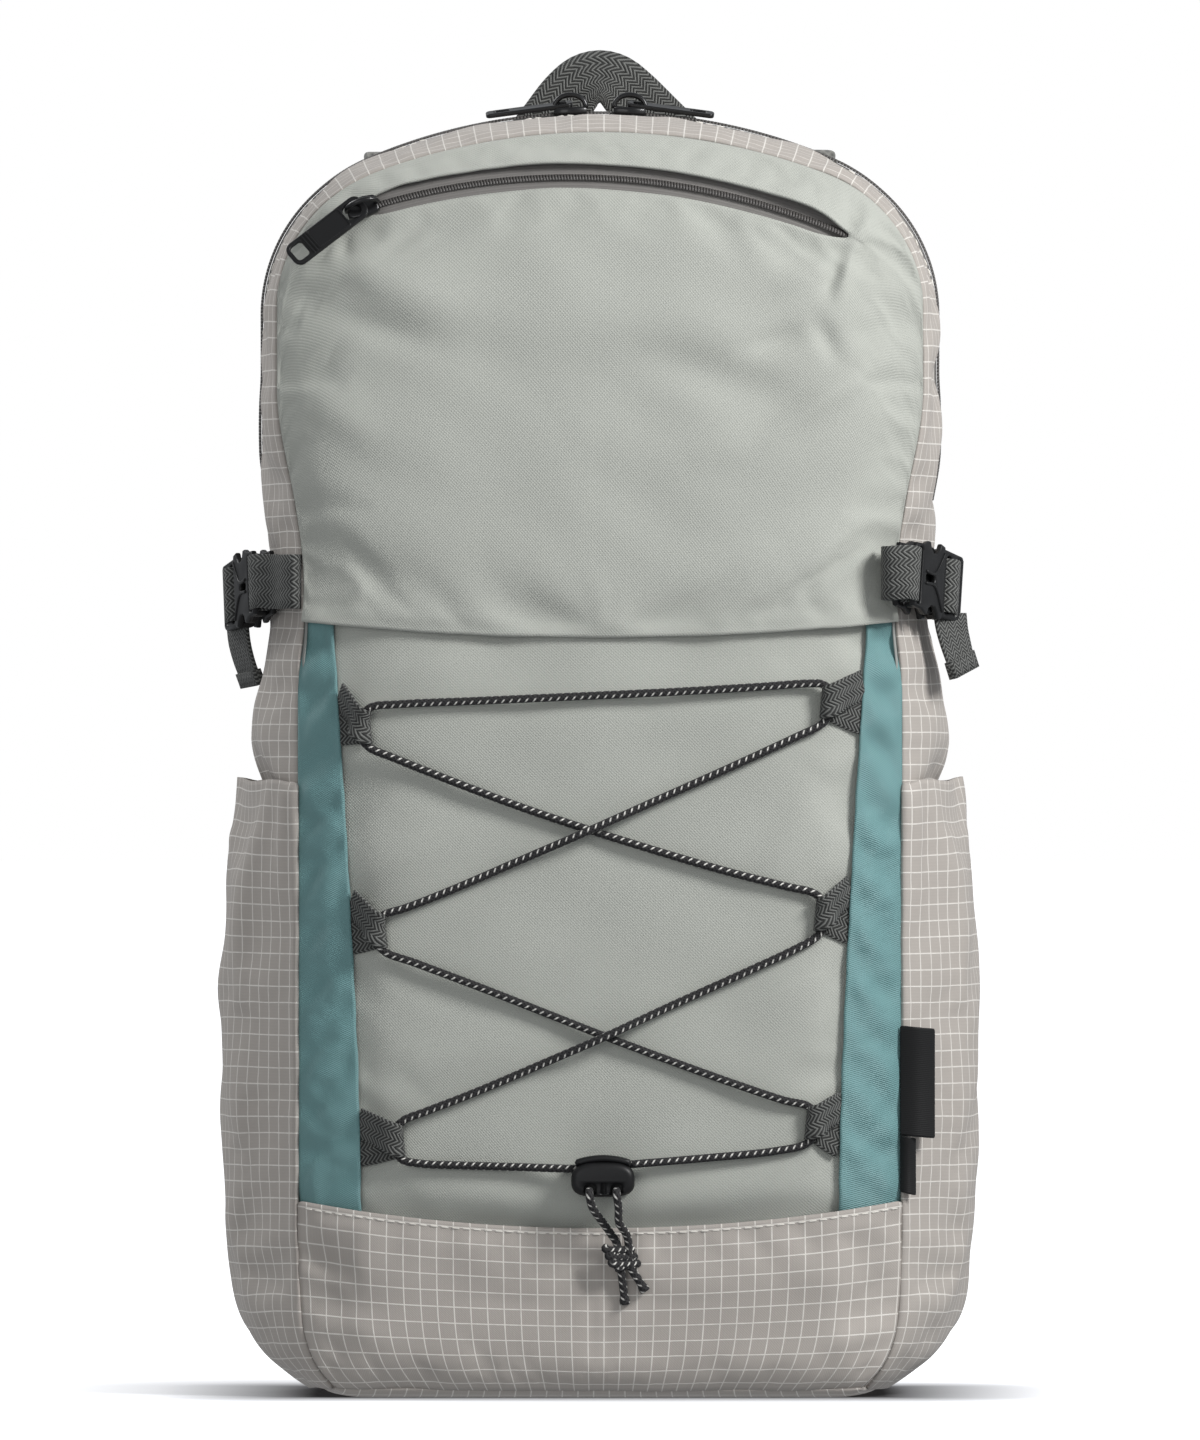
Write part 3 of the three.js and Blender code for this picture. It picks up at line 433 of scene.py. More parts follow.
def tape_cloth():
    shader = Shader("zip_tape", 0.8, sheen=0.1)
    _, along = shader.weave_axes()
    ribs = shader.wave(along, 0.0011)
    shader.bump(ribs, 0.0001, 0.5)
    raised, fuzz = shader.math("MULTIPLY", ribs, 0.5), shader.math("MULTIPLY", shader.noise(260, 3), 0.5)
    tone = shader.math("ADD", raised, fuzz)
    return shader.finish(shader.shade(rgb(118, 115, 112), tone, 0.16))


def coil_nylon():
    shader = Shader("coil_nylon", 0.5)
    return shader.finish(shader.shade(rgb(84, 81, 79), shader.noise(500, 2), 0.2))


FLECK_ROWS = 0.00314      # a third of the way round a 3 mm cord


def braid_cord():
    """Dark braid with two-ply strands and rows of pale flecks."""
    shader = Shader("braided_shock_cord", 0.75, sheen=0.08, specular=0.3)
    along, around = shader.weave_axes()
    left = shader.wave(shader.math("ADD", along, around), 0.0016)
    right = shader.wave(shader.math("SUBTRACT", along, around), 0.0016)
    braid = shader.math("MAXIMUM", left, right)
    shader.bump(braid, 0.0002, 0.9)
    dark = shader.blend(braid, rgb(10, 10, 11), rgb(46, 45, 46))
    slant = shader.math("ADD", along, shader.math("MULTIPLY", around, 0.7))
    row = shader.line(around, FLECK_ROWS, 0.0013)
    fleck = shader.math("MULTIPLY", shader.line(slant, 0.0029, 0.0006), row)
    return shader.finish(shader.blend(fleck, dark, rgb(222, 220, 214)))


def moulded_plastic():
    shader = Shader("moulded_plastic", 0.42, specular=0.32)
    grain = shader.noise(900, 4)
    shader.bump(grain, 0.00006, 0.5)
    shader.rough(shader.noise(70, 3), 0.34, 0.52)
    return shader.finish(shader.shade(rgb(20, 20, 21), shader.noise(120, 3), 0.12))


def painted_metal():
    shader = Shader("painted_zinc", 0.36, metallic=0.35)
    shader.surface.inputs["Coat Weight"].default_value = 0.3
    shader.bump(shader.noise(600, 3), 0.00004, 0.5)
    shader.rough(shader.noise(160, 3), 0.26, 0.44)
    return shader.finish(shader.shade(rgb(19, 19, 20), shader.noise(220, 3), 0.25))


def spring_steel():
    shader = Shader("spring_steel", 0.3, metallic=1.0)
    shader.rough(shader.noise(400, 3), 0.2, 0.4)
    return shader.finish(shader.shade(rgb(176, 178, 182), shader.noise(300, 2), 0.1))


def air_mesh():
    """Spacer mesh: staggered round holes over a darker ground."""
    shader = Shader("air_mesh", 0.85, sheen=0.2)
    x, _, z = shader.object_axes()
    holes = shader.math("MULTIPLY", shader.wave(x, 0.0036), shader.wave(z, 0.0036))
    shift = shader.math("MULTIPLY", shader.wave(shader.math("ADD", x, 0.0018), 0.0036),
                        shader.wave(shader.math("ADD", z, 0.0018), 0.0036))
    deep = shader.math("SUBTRACT", 1.0, shader.math("MAXIMUM", holes, shift))
    shader.bump(deep, 0.0005, 0.8)
    knit = shader.noise(700, 2)
    body = shader.shade(rgb(126, 125, 120), knit, 0.12)
    return shader.finish(shader.blend(shader.math("POWER", deep, 0.7), rgb(66, 66, 63), body))


def lining_cloth():
    shader = Shader("lining_taffeta", 0.55, sheen=0.1)
    return shader.finish(plain_weave(shader, rgb(150, 152, 148), 0.0007, 0.00006, 0.05, 0.03))


def board_plastic():
    shader = Shader("frame_board", 0.5)
    shader.bump(shader.noise(500, 3), 0.00008, 0.4)
    return shader.finish(shader.shade(rgb(226, 226, 220), shader.noise(30, 3), 0.04))


def label_cloth():
    shader = Shader("woven_label", 0.6, sheen=0.1, specular=0.25)
    _, along = shader.weave_axes()
    ribs = shader.wave(along, 0.0007)
    shader.bump(ribs, 0.00006, 0.6)
    return shader.finish(shader.shade(rgb(13, 13, 14), ribs, 0.18))


def sewing_thread():
    shader = Shader("pale_thread", 0.6, sheen=0.3)
    return shader.finish(shader.shade(rgb(214, 210, 202), shader.noise(900, 2), 0.08))


SAGE, TEAL = sage_cloth(), teal_cloth()
RIPSTOP = ripstop_cloth("ripstop", rgb(175, 168, 161))
WEBBING, TAPE, COIL, BRAID = webbing_cloth(), tape_cloth(), coil_nylon(), braid_cord()
PLASTIC, METAL, STEEL = moulded_plastic(), painted_metal(), spring_steel()
MESH, LINING, BOARD, LABEL = air_mesh(), lining_cloth(), board_plastic(), label_cloth()
THREAD = sewing_thread()

# ---------------------------------------------------------------- mesh helpers


def add_mesh(name, points, faces, material, uv=None, rounded=True):
    """A mesh object from points and faces; uv holds a pair for each point."""
    mesh = bpy.data.meshes.new(name)
    mesh.from_pydata([tuple(p) for p in points], [], [tuple(f) for f in faces])
    mesh.update()
    if uv is not None:
        corners = np.empty(len(mesh.loops), int)
        mesh.loops.foreach_get("vertex_index", corners)
        mesh.uv_layers.new(name="weave").data.foreach_set("uv", np.asarray(uv, float)[corners].ravel())
    mesh.materials.append(material)
    mesh.polygons.foreach_set("use_smooth", [rounded] * len(mesh.polygons))
    piece = bpy.data.objects.new(name, mesh)
    scene.collection.objects.link(piece)
    return piece


def settle(piece):
    """Puts what the modifiers make into the mesh itself."""
    bpy.context.view_layer.update()
    made = piece.evaluated_get(bpy.context.evaluated_depsgraph_get())
    mesh = bpy.data.meshes.new_from_object(made, preserve_all_data_layers=True,
                                           depsgraph=bpy.context.evaluated_depsgraph_get())
    piece.modifiers.clear()
    mesh.name = piece.name
    piece.data = mesh
    return piece


def subdivide(piece, levels=1):
    modifier = piece.modifiers.new("fine", "SUBSURF")
    modifier.levels = modifier.render_levels = levels
    modifier.uv_smooth = "PRESERVE_BOUNDARIES"


def thicken(piece, thickness, inside=None):
    """Gives a sheet its thickness, inwards from its outer face, with a lining of its own inside."""
    modifier = piece.modifiers.new("thick", "SOLIDIFY")
    modifier.thickness = thickness
    modifier.offset = -1
    modifier.use_even_offset = False
    if inside is not None:
        piece.data.materials.append(inside)
        modifier.material_offset = 1


def vertex_values(mesh, name="co"):
    """The mesh's places or normals, a row for each vertex."""
    values = np.empty(len(mesh.vertices) * 3)
    mesh.vertices.foreach_get(name, values)
    return values.reshape(-1, 3)


def run_cloth(piece, modifier, frames):
    """Steps a piece's cloth simulation, takes it off and returns where the points had got to."""
    modifier.point_cache.frame_start = 1
    modifier.point_cache.frame_end = frames
    for number in range(1, frames + 1):
        scene.frame_set(number)
    moved = vertex_values(piece.evaluated_get(bpy.context.evaluated_depsgraph_get()).data)
    piece.modifiers.clear()
    scene.frame_set(1)
    return moved


def capped(shift, cap):
    """Each point's shift, eased so that none is longer than cap."""
    reach = np.maximum(np.linalg.norm(shift, axis=-1, keepdims=True), 1e-9)
    return shift * cap * np.tanh(reach / cap) / reach


def lengths(points, axis):
    """Distances along a grid of points, from its first row, averaged over the other direction."""
    steps = np.linalg.norm(np.diff(points, axis=axis), axis=-1).mean(axis=1 - axis)
    return np.concatenate([[0], np.cumsum(steps)])


EDGE_SHIFT = 0.0022       # keeps a woven line off a sheet's own edge
CLOTH_STIFF = 12.0
CLOTH_BEND = 0.15


class Sheet:
    """A cloth sheet on a grid: its patch gives points for u across and v along, both 0 to 1."""

    def __init__(self, name, patch, across, along, material, flip=False, gap=None, uv=None):
        u = np.linspace(0, 1, across + 1)[:, None]
        v = np.linspace(0, 1, along + 1)[None, :]
        self.points = np.array(patch(u, v), float)
        if uv is None:
            rows, columns = lengths(self.points, 0), lengths(self.points, 1)
            uv = np.stack(np.meshgrid(rows, columns, indexing="ij"), -1) + EDGE_SHIFT
        index = np.arange((across + 1) * (along + 1)).reshape(across + 1, along + 1)
        quads = np.stack([index[:-1, :-1], index[1:, :-1], index[1:, 1:], index[:-1, 1:]], -1)
        keep = np.ones((across, along), bool) if gap is None else ~gap
        faces = quads[keep]
        if flip:
            faces = faces[:, ::-1]
        self.outward = -1 if flip else 1
        self.piece = add_mesh(name, self.points.reshape(-1, 3), faces, material, uv.reshape(-1, 2))
        self.held = np.zeros((across + 1, along + 1), bool)
        self.held[[0, -1], :] = True
        self.held[:, [0, -1]] = True
        if gap is not None:
            edge = np.zeros_like(self.held)
            for rows in (slice(0, -1), slice(1, None)):
                for columns in (slice(0, -1), slice(1, None)):
                    edge[rows, columns] |= gap
            self.held |= edge

    def drape(self, slack, pressure, cap, frames=16, calm=0.005):
        """Lets the sheet buckle between its held edges: each point moves at most cap, less beside an edge."""
        piece = self.piece
        pins = piece.vertex_groups.new(name="held")
        pins.add([int(i) for i in np.flatnonzero(self.held.ravel())], 1.0, "REPLACE")
        modifier = piece.modifiers.new("cloth", "CLOTH")
        rules = modifier.settings
        rules.quality = 6
        rules.mass = 0.12
        rules.air_damping = 4
        rules.tension_stiffness = CLOTH_STIFF
        rules.compression_stiffness = CLOTH_STIFF
        rules.shear_stiffness = CLOTH_STIFF / 3
        rules.bending_stiffness = CLOTH_BEND
        rules.vertex_group_mass = "held"
        rules.shrink_min = -slack
        rules.use_pressure = True
        rules.uniform_pressure_force = pressure
        rules.effector_weights.gravity = 0
        moved = run_cloth(piece, modifier, frames)
        shift = moved.reshape(self.points.shape) - self.points
        share = smooth(0, calm, self.edge_distance())[..., None] if calm else 1
        self.points = self.points + share * capped(shift, cap)
        return self

    def edge_distance(self):
        """How far each grid point is from the sheet's nearest edge."""
        rows, columns = lengths(self.points, 0), lengths(self.points, 1)
        ends = [np.minimum(run, run[-1] - run) for run in (rows, columns)]
        return np.minimum(ends[0][:, None], ends[1][None, :])

    def normals(self):
        cross = np.cross(np.gradient(self.points, axis=0), np.gradient(self.points, axis=1))
        size = np.maximum(np.linalg.norm(cross, axis=-1, keepdims=True), 1e-12)
        return self.outward * cross / size

    def raise_by(self, height):
        """Moves each point outwards by a height, given for the whole grid."""
        self.points = self.points + self.normals() * np.asarray(height)[..., None]
        return self

    def at(self, u, v, lift=0.0):
        """The place at a lift over the sheet's u, v, and the sheet's outward direction there."""
        size = np.array(self.points.shape[:2]) - 1
        spot = np.array([u, v]) * size
        low = np.minimum(spot.astype(int), size - 1)
        share = spot - low
        normal = self.normals()[low[0], low[1]]
        corner = self.points[low[0]:low[0] + 2, low[1]:low[1] + 2]
        before, after = (lerp(corner[0, row], corner[1, row], share[0]) for row in (0, 1))
        return lerp(before, after, share[1]) + normal * lift, normal

    def finish(self, thickness, inside=None, levels=1):
        self.piece.data.vertices.foreach_set("co", self.points.ravel())
        self.piece.data.update()
        subdivide(self.piece, levels)
        thicken(self.piece, thickness, inside)
        return settle(self.piece)


def join(name, pieces):
    """One object from several meshes."""
    with bpy.context.temp_override(active_object=pieces[0], selected_editable_objects=pieces,
                                   selected_objects=pieces):
        bpy.ops.object.join()
    pieces[0].name = name
    pieces[0].data.name = name
    return pieces[0]


def stitches(name, sheet, path, pitch=0.0036, length=0.0026, radius=0.00032):
    """A running stitch of short threads lying on a sheet along a path of u, v places."""
    places = [sheet.at(u, v, 0.0001) for u, v in path]
    line = np.array([place for place, _ in places])
    normals = np.array([normal for _, normal in places])
    run = run_along(line)
    points, faces = [], []
    sides, rings = 5, ((-0.5, 0.35), (-0.32, 0.95), (0.32, 0.95), (0.5, 0.35))
    for middle in np.arange(pitch / 2, run[-1], pitch):
        centre = at_run(middle, run, line)
        ahead = at_run(middle + pitch / 4, run, line) - centre
        up = at_run(middle, run, normals)
        ahead = ahead / max(np.linalg.norm(ahead), 1e-9)
        side = np.cross(ahead, up)
        start = len(points)
        for share, fat in rings:
            for step in range(sides):
                turn = 2 * math.pi * step / sides
                offset = (side * math.cos(turn) + up * math.sin(turn)) * radius * fat
                points.append(centre + ahead * share * length + offset)
        for ring in range(len(rings) - 1):
            for step in range(sides):
                a, b = start + ring * sides + step, start + ring * sides + (step + 1) % sides
                faces.append((a, a + sides, b + sides, b))
        faces.append(tuple(range(start, start + sides)))
        faces.append(tuple(reversed(range(start + 3 * sides, start + 4 * sides))))
    return add_mesh(name, points, faces, THREAD)


def curve_through(places, spacing):
    """Places along a smooth curve through the given ones, at about an even spacing."""
    places = np.array(places, float)
    padded = np.vstack([2 * places[0] - places[1], places, 2 * places[-1] - places[-2]])
    line = []
    for a, b, c, d in zip(padded, padded[1:], padded[2:], padded[3:]):
        span = np.linalg.norm((c - b)[:3])
        for share in np.linspace(0, 1, max(2, int(span / spacing) + 1))[:-1]:
            t0, t1 = 0.0, max(np.linalg.norm((b - a)[:3]), 1e-6) ** 0.5
            t2 = t1 + max(span, 1e-6) ** 0.5
            t3 = t2 + max(np.linalg.norm((d - c)[:3]), 1e-6) ** 0.5
            t = lerp(t1, t2, share)
            ab = lerp(a, b, (t - t0) / (t1 - t0))
            bc = lerp(b, c, (t - t1) / (t2 - t1))
            cd = lerp(c, d, (t - t2) / (t3 - t2))
            abc = lerp(ab, bc, (t - t0) / (t2 - t0))
            bcd = lerp(bc, cd, (t - t1) / (t3 - t1))
            line.append(lerp(abc, bcd, (t - t1) / (t2 - t1)))
    line.append(places[-1])
    return np.array(line)


def tube(name, line, radius, material, sides=12, taper=None):
    """A closed round tube along a line; its UVs run along and around, in metres."""
    ahead = np.gradient(line, axis=0)
    ahead /= np.linalg.norm(ahead, axis=1)[:, None]
    side = np.cross(ahead[0], (0, 1, 0.01))
    run = run_along(line)
    points, uv, faces = [], [], []
    for index, (centre, way) in enumerate(zip(line, ahead)):
        side = side - way * (side @ way)
        side /= np.linalg.norm(side)
        up = np.cross(way, side)
        fat = radius if taper is None else radius * taper(run[index] / run[-1])
        for step in range(sides + 1):
            turn = 2 * math.pi * step / sides
            points.append(centre + (side * math.cos(turn) + up * math.sin(turn)) * fat)
            uv.append((run[index], turn * radius))
    ring = sides + 1
    for index in range(len(line) - 1):
        for step in range(sides):
            a = index * ring + step
            faces.append((a, a + 1, a + ring + 1, a + ring))
    last = (len(line) - 1) * ring
    faces.append(tuple(reversed(range(sides))))
    faces.append(tuple(last + step for step in range(sides)))
    piece = add_mesh(name, points, faces, material, uv)
    weld(piece)
    return piece


def weld(piece, distance=1e-6):
    modifier = piece.modifiers.new("weld", "WELD")
    modifier.merge_threshold = distance
    return settle(piece)


def ribbon(name, stations, width, thickness, material, spacing=0.002):
    """A strap with rounded edges along stations: place, direction across and, where it varies, width."""
    table = np.array([[*place, *across, own[0] if own else width] for place, across, *own in stations], float)
    line = curve_through(table, spacing)
    ahead = np.gradient(line[:, :3], axis=0)
    ahead /= np.linalg.norm(ahead, axis=1)[:, None]
    across = line[:, 3:6]
    across = across - ahead * np.sum(across * ahead, axis=1)[:, None]
    across /= np.linalg.norm(across, axis=1)[:, None]
    up = np.cross(ahead, across)
    run = run_along(line[:, :3])
    half = thickness / 2
    section = [(-1, -0.5), (-1, 0.5), (-0.97, 1), (-0.6, 1.0), (-0.2, 1.0), (0.2, 1.0), (0.6, 1.0), (0.97, 1),
               (1, 0.5), (1, -0.5), (0.97, -1), (0.6, -1), (0.2, -1), (-0.2, -1), (-0.6, -1), (-0.97, -1)]
    points, uv = [], []
    for index in range(len(line)):
        for side, level in section:
            wide = line[index, 6] / 2
            points.append(line[index, :3] + across[index] * side * wide + up[index] * level * half)
            uv.append((run[index], side * wide))
    ring = len(section)
    faces = [tuple(reversed(range(ring)))]
    for index in range(len(line) - 1):
        for step in range(ring):
            a, b = index * ring + step, index * ring + (step + 1) % ring
            faces.append((a, b, b + ring, a + ring))
    faces.append(tuple((len(line) - 1) * ring + step for step in range(ring)))
    return add_mesh(name, points, faces, material, uv)


def outline_plate(name, outlines, thickness, bevel, material, place=Matrix()):
    """A plate with rounded edges from closed outlines in X and Y; the inner ones are holes."""
    curve = bpy.data.curves.new(name, "CURVE")
    curve.dimensions = "2D"
    curve.fill_mode = "BOTH"
    curve.extrude = thickness / 2 - bevel
    curve.bevel_depth = bevel
    curve.bevel_resolution = 3
    curve.offset = -bevel
    for outline in outlines:
        spline = curve.splines.new("POLY")
        spline.points.add(len(outline) - 1)
        for point, (x, y) in zip(spline.points, outline):
            point.co = (x, y, 0, 1)
        spline.use_cyclic_u = True
    holder = bpy.data.objects.new(name, curve)
    scene.collection.objects.link(holder)
    bpy.context.view_layer.update()
    mesh = bpy.data.meshes.new_from_object(holder.evaluated_get(bpy.context.evaluated_depsgraph_get()))
    bpy.data.objects.remove(holder)
    mesh.materials.clear()
    mesh.materials.append(material)
    mesh.transform(place)
    mesh.name = name
    piece = bpy.data.objects.new(name, mesh)
    scene.collection.objects.link(piece)
    weld(piece, 1e-5)
    piece.data.polygons.foreach_set("use_smooth", [True] * len(piece.data.polygons))
    piece.data.set_sharp_from_angle(angle=math.radians(38))
    return piece


def rounded(width, height, radius, centre=(0, 0), steps=5):
    """A rectangle's outline with round corners."""
    outline = []
    for quarter, (sx, sy) in enumerate(((1, 1), (-1, 1), (-1, -1), (1, -1))):
        for step in range(steps + 1):
            turn = math.pi / 2 * (quarter + step / steps)
            x = centre[0] + sx * (width / 2 - radius) + radius * math.cos(turn)
            y = centre[1] + sy * (height / 2 - radius) + radius * math.sin(turn)
            outline.append((x, y))
    return outline


def named(piece, slot, *nodes):
    """Hides the frame's parts that a piece stands for; slot is not used."""
    if nodes:
        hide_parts(*nodes)
    return piece


def give(piece, body, slot, *nodes):
    """Rides a piece on one body."""
    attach(piece, body)
    return named(piece, slot, *nodes)


def give_to_lid(piece, slot, *nodes):
    """Unlike give, leaves a piece on no body, its place baked into its mesh; for a piece that crosses the fold,
    where the real cloth bends.
    """
    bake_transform(piece)
    return named(piece, slot, *nodes)


# ---------------------------------------------------------------- shock cord

CORD_RADIUS = 0.0015
# The lace from the lock's left side round all six loops and back: x, z and the centre's
# height over the front panel.
LACE_ROUTE = [
    (-0.0112, 0.0846, 0.0066), (-0.030, 0.0852, 0.005), (-0.052, 0.0858, 0.0042),
    (-0.066, 0.0864, 0.0042), (-0.0726, 0.0878, 0.0042), (-0.075, 0.0904, 0.0042),
    (-0.075, 0.0946, 0.0042), (-0.075, 0.099, 0.0042), (-0.0724, 0.1022, 0.0042),
    (-0.064, 0.1056, 0.0042), (-0.046, 0.1126, 0.0042), (-0.022, 0.1228, 0.0046),
    (0.0019, 0.1332, 0.0078), (0.026, 0.1444, 0.0046), (0.054, 0.157, 0.0042),
    (0.072, 0.1654, 0.0042), (0.0796, 0.1698, 0.0042), (0.082, 0.1732, 0.0042),
    (0.082, 0.1778, 0.0042), (0.082, 0.1824, 0.0042), (0.079, 0.1856, 0.0042),
    (0.068, 0.1884, 0.0042), (0.046, 0.194, 0.0042), (0.020, 0.2016, 0.0042),
    (-0.0037, 0.209, 0.0042), (-0.030, 0.2178, 0.0042), (-0.058, 0.2284, 0.0042),
    (-0.076, 0.2356, 0.0042), (-0.0846, 0.2392, 0.0042), (-0.0872, 0.242, 0.0042),
    (-0.0872, 0.2466, 0.0042), (-0.0872, 0.2512, 0.0042), (-0.0842, 0.2542, 0.0042),
    (-0.074, 0.2553, 0.0042), (-0.044, 0.2566, 0.0042), (-0.008, 0.2582, 0.0042),
    (0.028, 0.2599, 0.0042), (0.060, 0.2618, 0.0042), (0.076, 0.2629, 0.0042),
    (0.082, 0.2626, 0.0042), (0.0842, 0.2604, 0.0042), (0.0842, 0.256, 0.0042),
    (0.0842, 0.2516, 0.0042), (0.0816, 0.248, 0.0042), (0.072, 0.2432, 0.0042),
    (0.046, 0.2312, 0.0042), (0.020, 0.2196, 0.0046), (-0.0037, 0.209, 0.0078),
    (-0.030, 0.1976, 0.0046), (-0.056, 0.1864, 0.0042), (-0.072, 0.1802, 0.0042),
    (-0.0792, 0.178, 0.0042), (-0.0816, 0.1758, 0.0042), (-0.0816, 0.1716, 0.0042),
    (-0.0816, 0.1672, 0.0042), (-0.079, 0.1642, 0.0042), (-0.068, 0.1602, 0.0042),
    (-0.044, 0.1512, 0.0042), (-0.020, 0.1418, 0.0042), (0.0019, 0.1332, 0.0042),
    (0.026, 0.1242, 0.0042), (0.050, 0.1156, 0.0042), (0.068, 0.1096, 0.0042),
    (0.076, 0.1078, 0.0042), (0.0786, 0.1056, 0.0042), (0.0786, 0.1012, 0.0042),
    (0.0786, 0.097, 0.0042), (0.0756, 0.0936, 0.0042), (0.064, 0.091, 0.0042),
    (0.040, 0.0886, 0.0048), (0.0133, 0.0864, 0.0066),
]
TAILS = {
    "left": [(-0.0039, 0.0767, 0.0128), (-0.0039, 0.0752, 0.0154), (-0.0028, 0.0706, 0.0134),
             (0.001, 0.065, 0.0094), (0.0042, 0.0604, 0.006), (0.006, 0.0576, 0.005),
             (0.0072, 0.052, 0.0046), (0.0078, 0.047, 0.0046), (0.0084, 0.042, 0.004),
             (0.0092, 0.0348, 0.0034)],
    "right": [(0.0061, 0.0767, 0.0128), (0.0061, 0.0752, 0.0154), (0.0068, 0.0706, 0.0138),
              (0.007, 0.065, 0.0106), (0.0096, 0.0606, 0.0064), (0.0104, 0.0579, 0.005),
              (0.0106, 0.052, 0.0046), (0.0116, 0.0475, 0.0044), (0.014, 0.044, 0.0044),
              (0.0166, 0.0396, 0.004)],
}
KNOT = (0.0081, 0.0518)
LOCK = (0.0011, 0.0803)


def on_front(x, z, lift=0.0):
    """A place a height before the front panel."""
    return np.array([x, float(front_depth(x, z)) - lift, z])


def add_cords():
    route = curve_through([on_front(*place) for place in LACE_ROUTE], 0.0012)
    cord = tube("shock_cord_lace", tucked(route, 0.003), CORD_RADIUS, BRAID)
    give(cord, "root", "shock_cord", "shock_cord")
    knot = give(knot_mesh(), "root", "shock_cord", "cord_knot")
    for side, places in TAILS.items():
        line = curve_through([on_front(*place) for place in places], 0.0008)
        tail = tube(f"shock_cord_tail_{side}", line, CORD_RADIUS, BRAID, taper=frayed_end)
        give(tail, "root", "shock_cord", f"cord_tail_{side}")


def tucked(line, reach):
    """A line carried straight on at both ends, into what grips it."""
    first, last = line[0] - line[1], line[-1] - line[-2]
    start = line[0] + first * reach / np.linalg.norm(first)
    return np.vstack([start, line, line[-1] + last * reach / np.linalg.norm(last)])


def frayed_end(share):
    """The melted tip is a little fatter than the cord."""
    return 1 + 0.28 * float(smooth(0.93, 0.97, share))


def knot_mesh():
    """An overhand knot of both tails: round turns stacked in front."""
    whole = 6 * math.pi
    line = []
    for turn in np.linspace(0, whole, 130):
        share = turn / whole
        x = KNOT[0] + 0.0046 * math.cos(turn + 2.6) + 0.0034 * (share - 0.5)
        z = KNOT[1] + 0.0042 - 0.0078 * share + 0.0007 * math.sin(turn + 3.4)
        lift = 0.0056 + 0.0030 * math.sin(turn + 0.9)
        line.append(on_front(x, z, lift))
    return tube("shock_cord_knot", np.array(line), CORD_RADIUS, BRAID)


# ---------------------------------------------------------------- front panels

ZIP_X, ZIP_Z, ZIP_RADIUS = -0.011, 0.196, 0.2535
ZIP_FROM, ZIP_TO = math.radians(-18.6), math.radians(24.2)
ZIP_LEFT, ZIP_RIGHT = ZIP_X + ZIP_RADIUS * math.sin(ZIP_FROM), ZIP_X + ZIP_RADIUS * math.sin(ZIP_TO)
# Each fold: its two ends in x and z, its width and its height.
UPPER_FOLDS = [
    ((0.099, 0.4338), (0.092, 0.421), 0.0026, 0.0020), ((0.0925, 0.4215), (0.0879, 0.4065), 0.0024, 0.0026),
    ((0.0888, 0.4200), (0.0842, 0.4070), 0.0022, -0.0024), ((0.090, 0.4190), (0.0677, 0.4100), 0.0040, 0.0014),
    ((0.080, 0.397), (0.087, 0.383), 0.0032, -0.0018), ((0.055, 0.3855), (0.075, 0.393), 0.0040, -0.0020),
    ((0.1029, 0.381), (0.0624, 0.3545), 0.0050, 0.0020), ((0.112, 0.396), (0.092, 0.390), 0.0050, -0.0014),
    ((0.062, 0.352), (0.030, 0.346), 0.008, 0.0012), ((0.070, 0.368), (0.016, 0.384), 0.008, -0.0014),
    ((-0.0945, 0.4275), (-0.0925, 0.4195), 0.0022, -0.0016),
    ((-0.094, 0.416), (-0.050, 0.398), 0.009, 0.0020), ((-0.100, 0.400), (-0.062, 0.388), 0.006, -0.0018),
    ((-0.112, 0.372), (-0.080, 0.350), 0.008, 0.0016), ((-0.108, 0.348), (-0.086, 0.300), 0.010, 0.0016),
    ((0.110, 0.352), (0.070, 0.318), 0.010, -0.0016), ((0.106, 0.318), (0.060, 0.300), 0.010, 0.0014),
    ((-0.106, 0.312), (-0.060, 0.296), 0.008, -0.0012), ((-0.030, 0.398), (0.052, 0.392), 0.012, 0.0012),
]
LOWER_FOLDS = [
    ((-0.086, 0.262), (-0.046, 0.274), 0.006, 0.0012), ((-0.080, 0.232), (-0.040, 0.216), 0.008, -0.0010),
    ((0.082, 0.270), (0.050, 0.250), 0.007, 0.0010), ((0.084, 0.236), (0.062, 0.190), 0.007, 0.0010),
    ((-0.082, 0.196), (-0.054, 0.206), 0.007, 0.0012), ((-0.078, 0.158), (-0.046, 0.146), 0.007, -0.0010),
    ((0.080, 0.160), (0.056, 0.136), 0.007, 0.0010), ((-0.072, 0.118), (-0.046, 0.130), 0.007, 0.0010),
    ((0.072, 0.084), (0.024, 0.070), 0.008, 0.0012), ((-0.070, 0.080), (-0.030, 0.072), 0.008, 0.0010),
]


def zip_height(x):
    return ZIP_Z + np.sqrt(ZIP_RADIUS ** 2 - (x - ZIP_X) ** 2)


def zip_line(x):
    """The pocket zip's height, carried on beside the arch past the zip's ends."""
    held = np.clip(x, ZIP_LEFT, ZIP_RIGHT)
    return seam_height(x) - (seam_height(held) - zip_height(held))


def zip_opening(x):
    """Half the height of the gap in the panel, pointed at the zip's ends."""
    inside = np.minimum(x - ZIP_LEFT, ZIP_RIGHT - x)
    return 0.0003 + 0.0042 * np.sqrt(smooth(0, 0.016, inside)) + 0.0018 * smooth(0.001, 0.014, -inside)


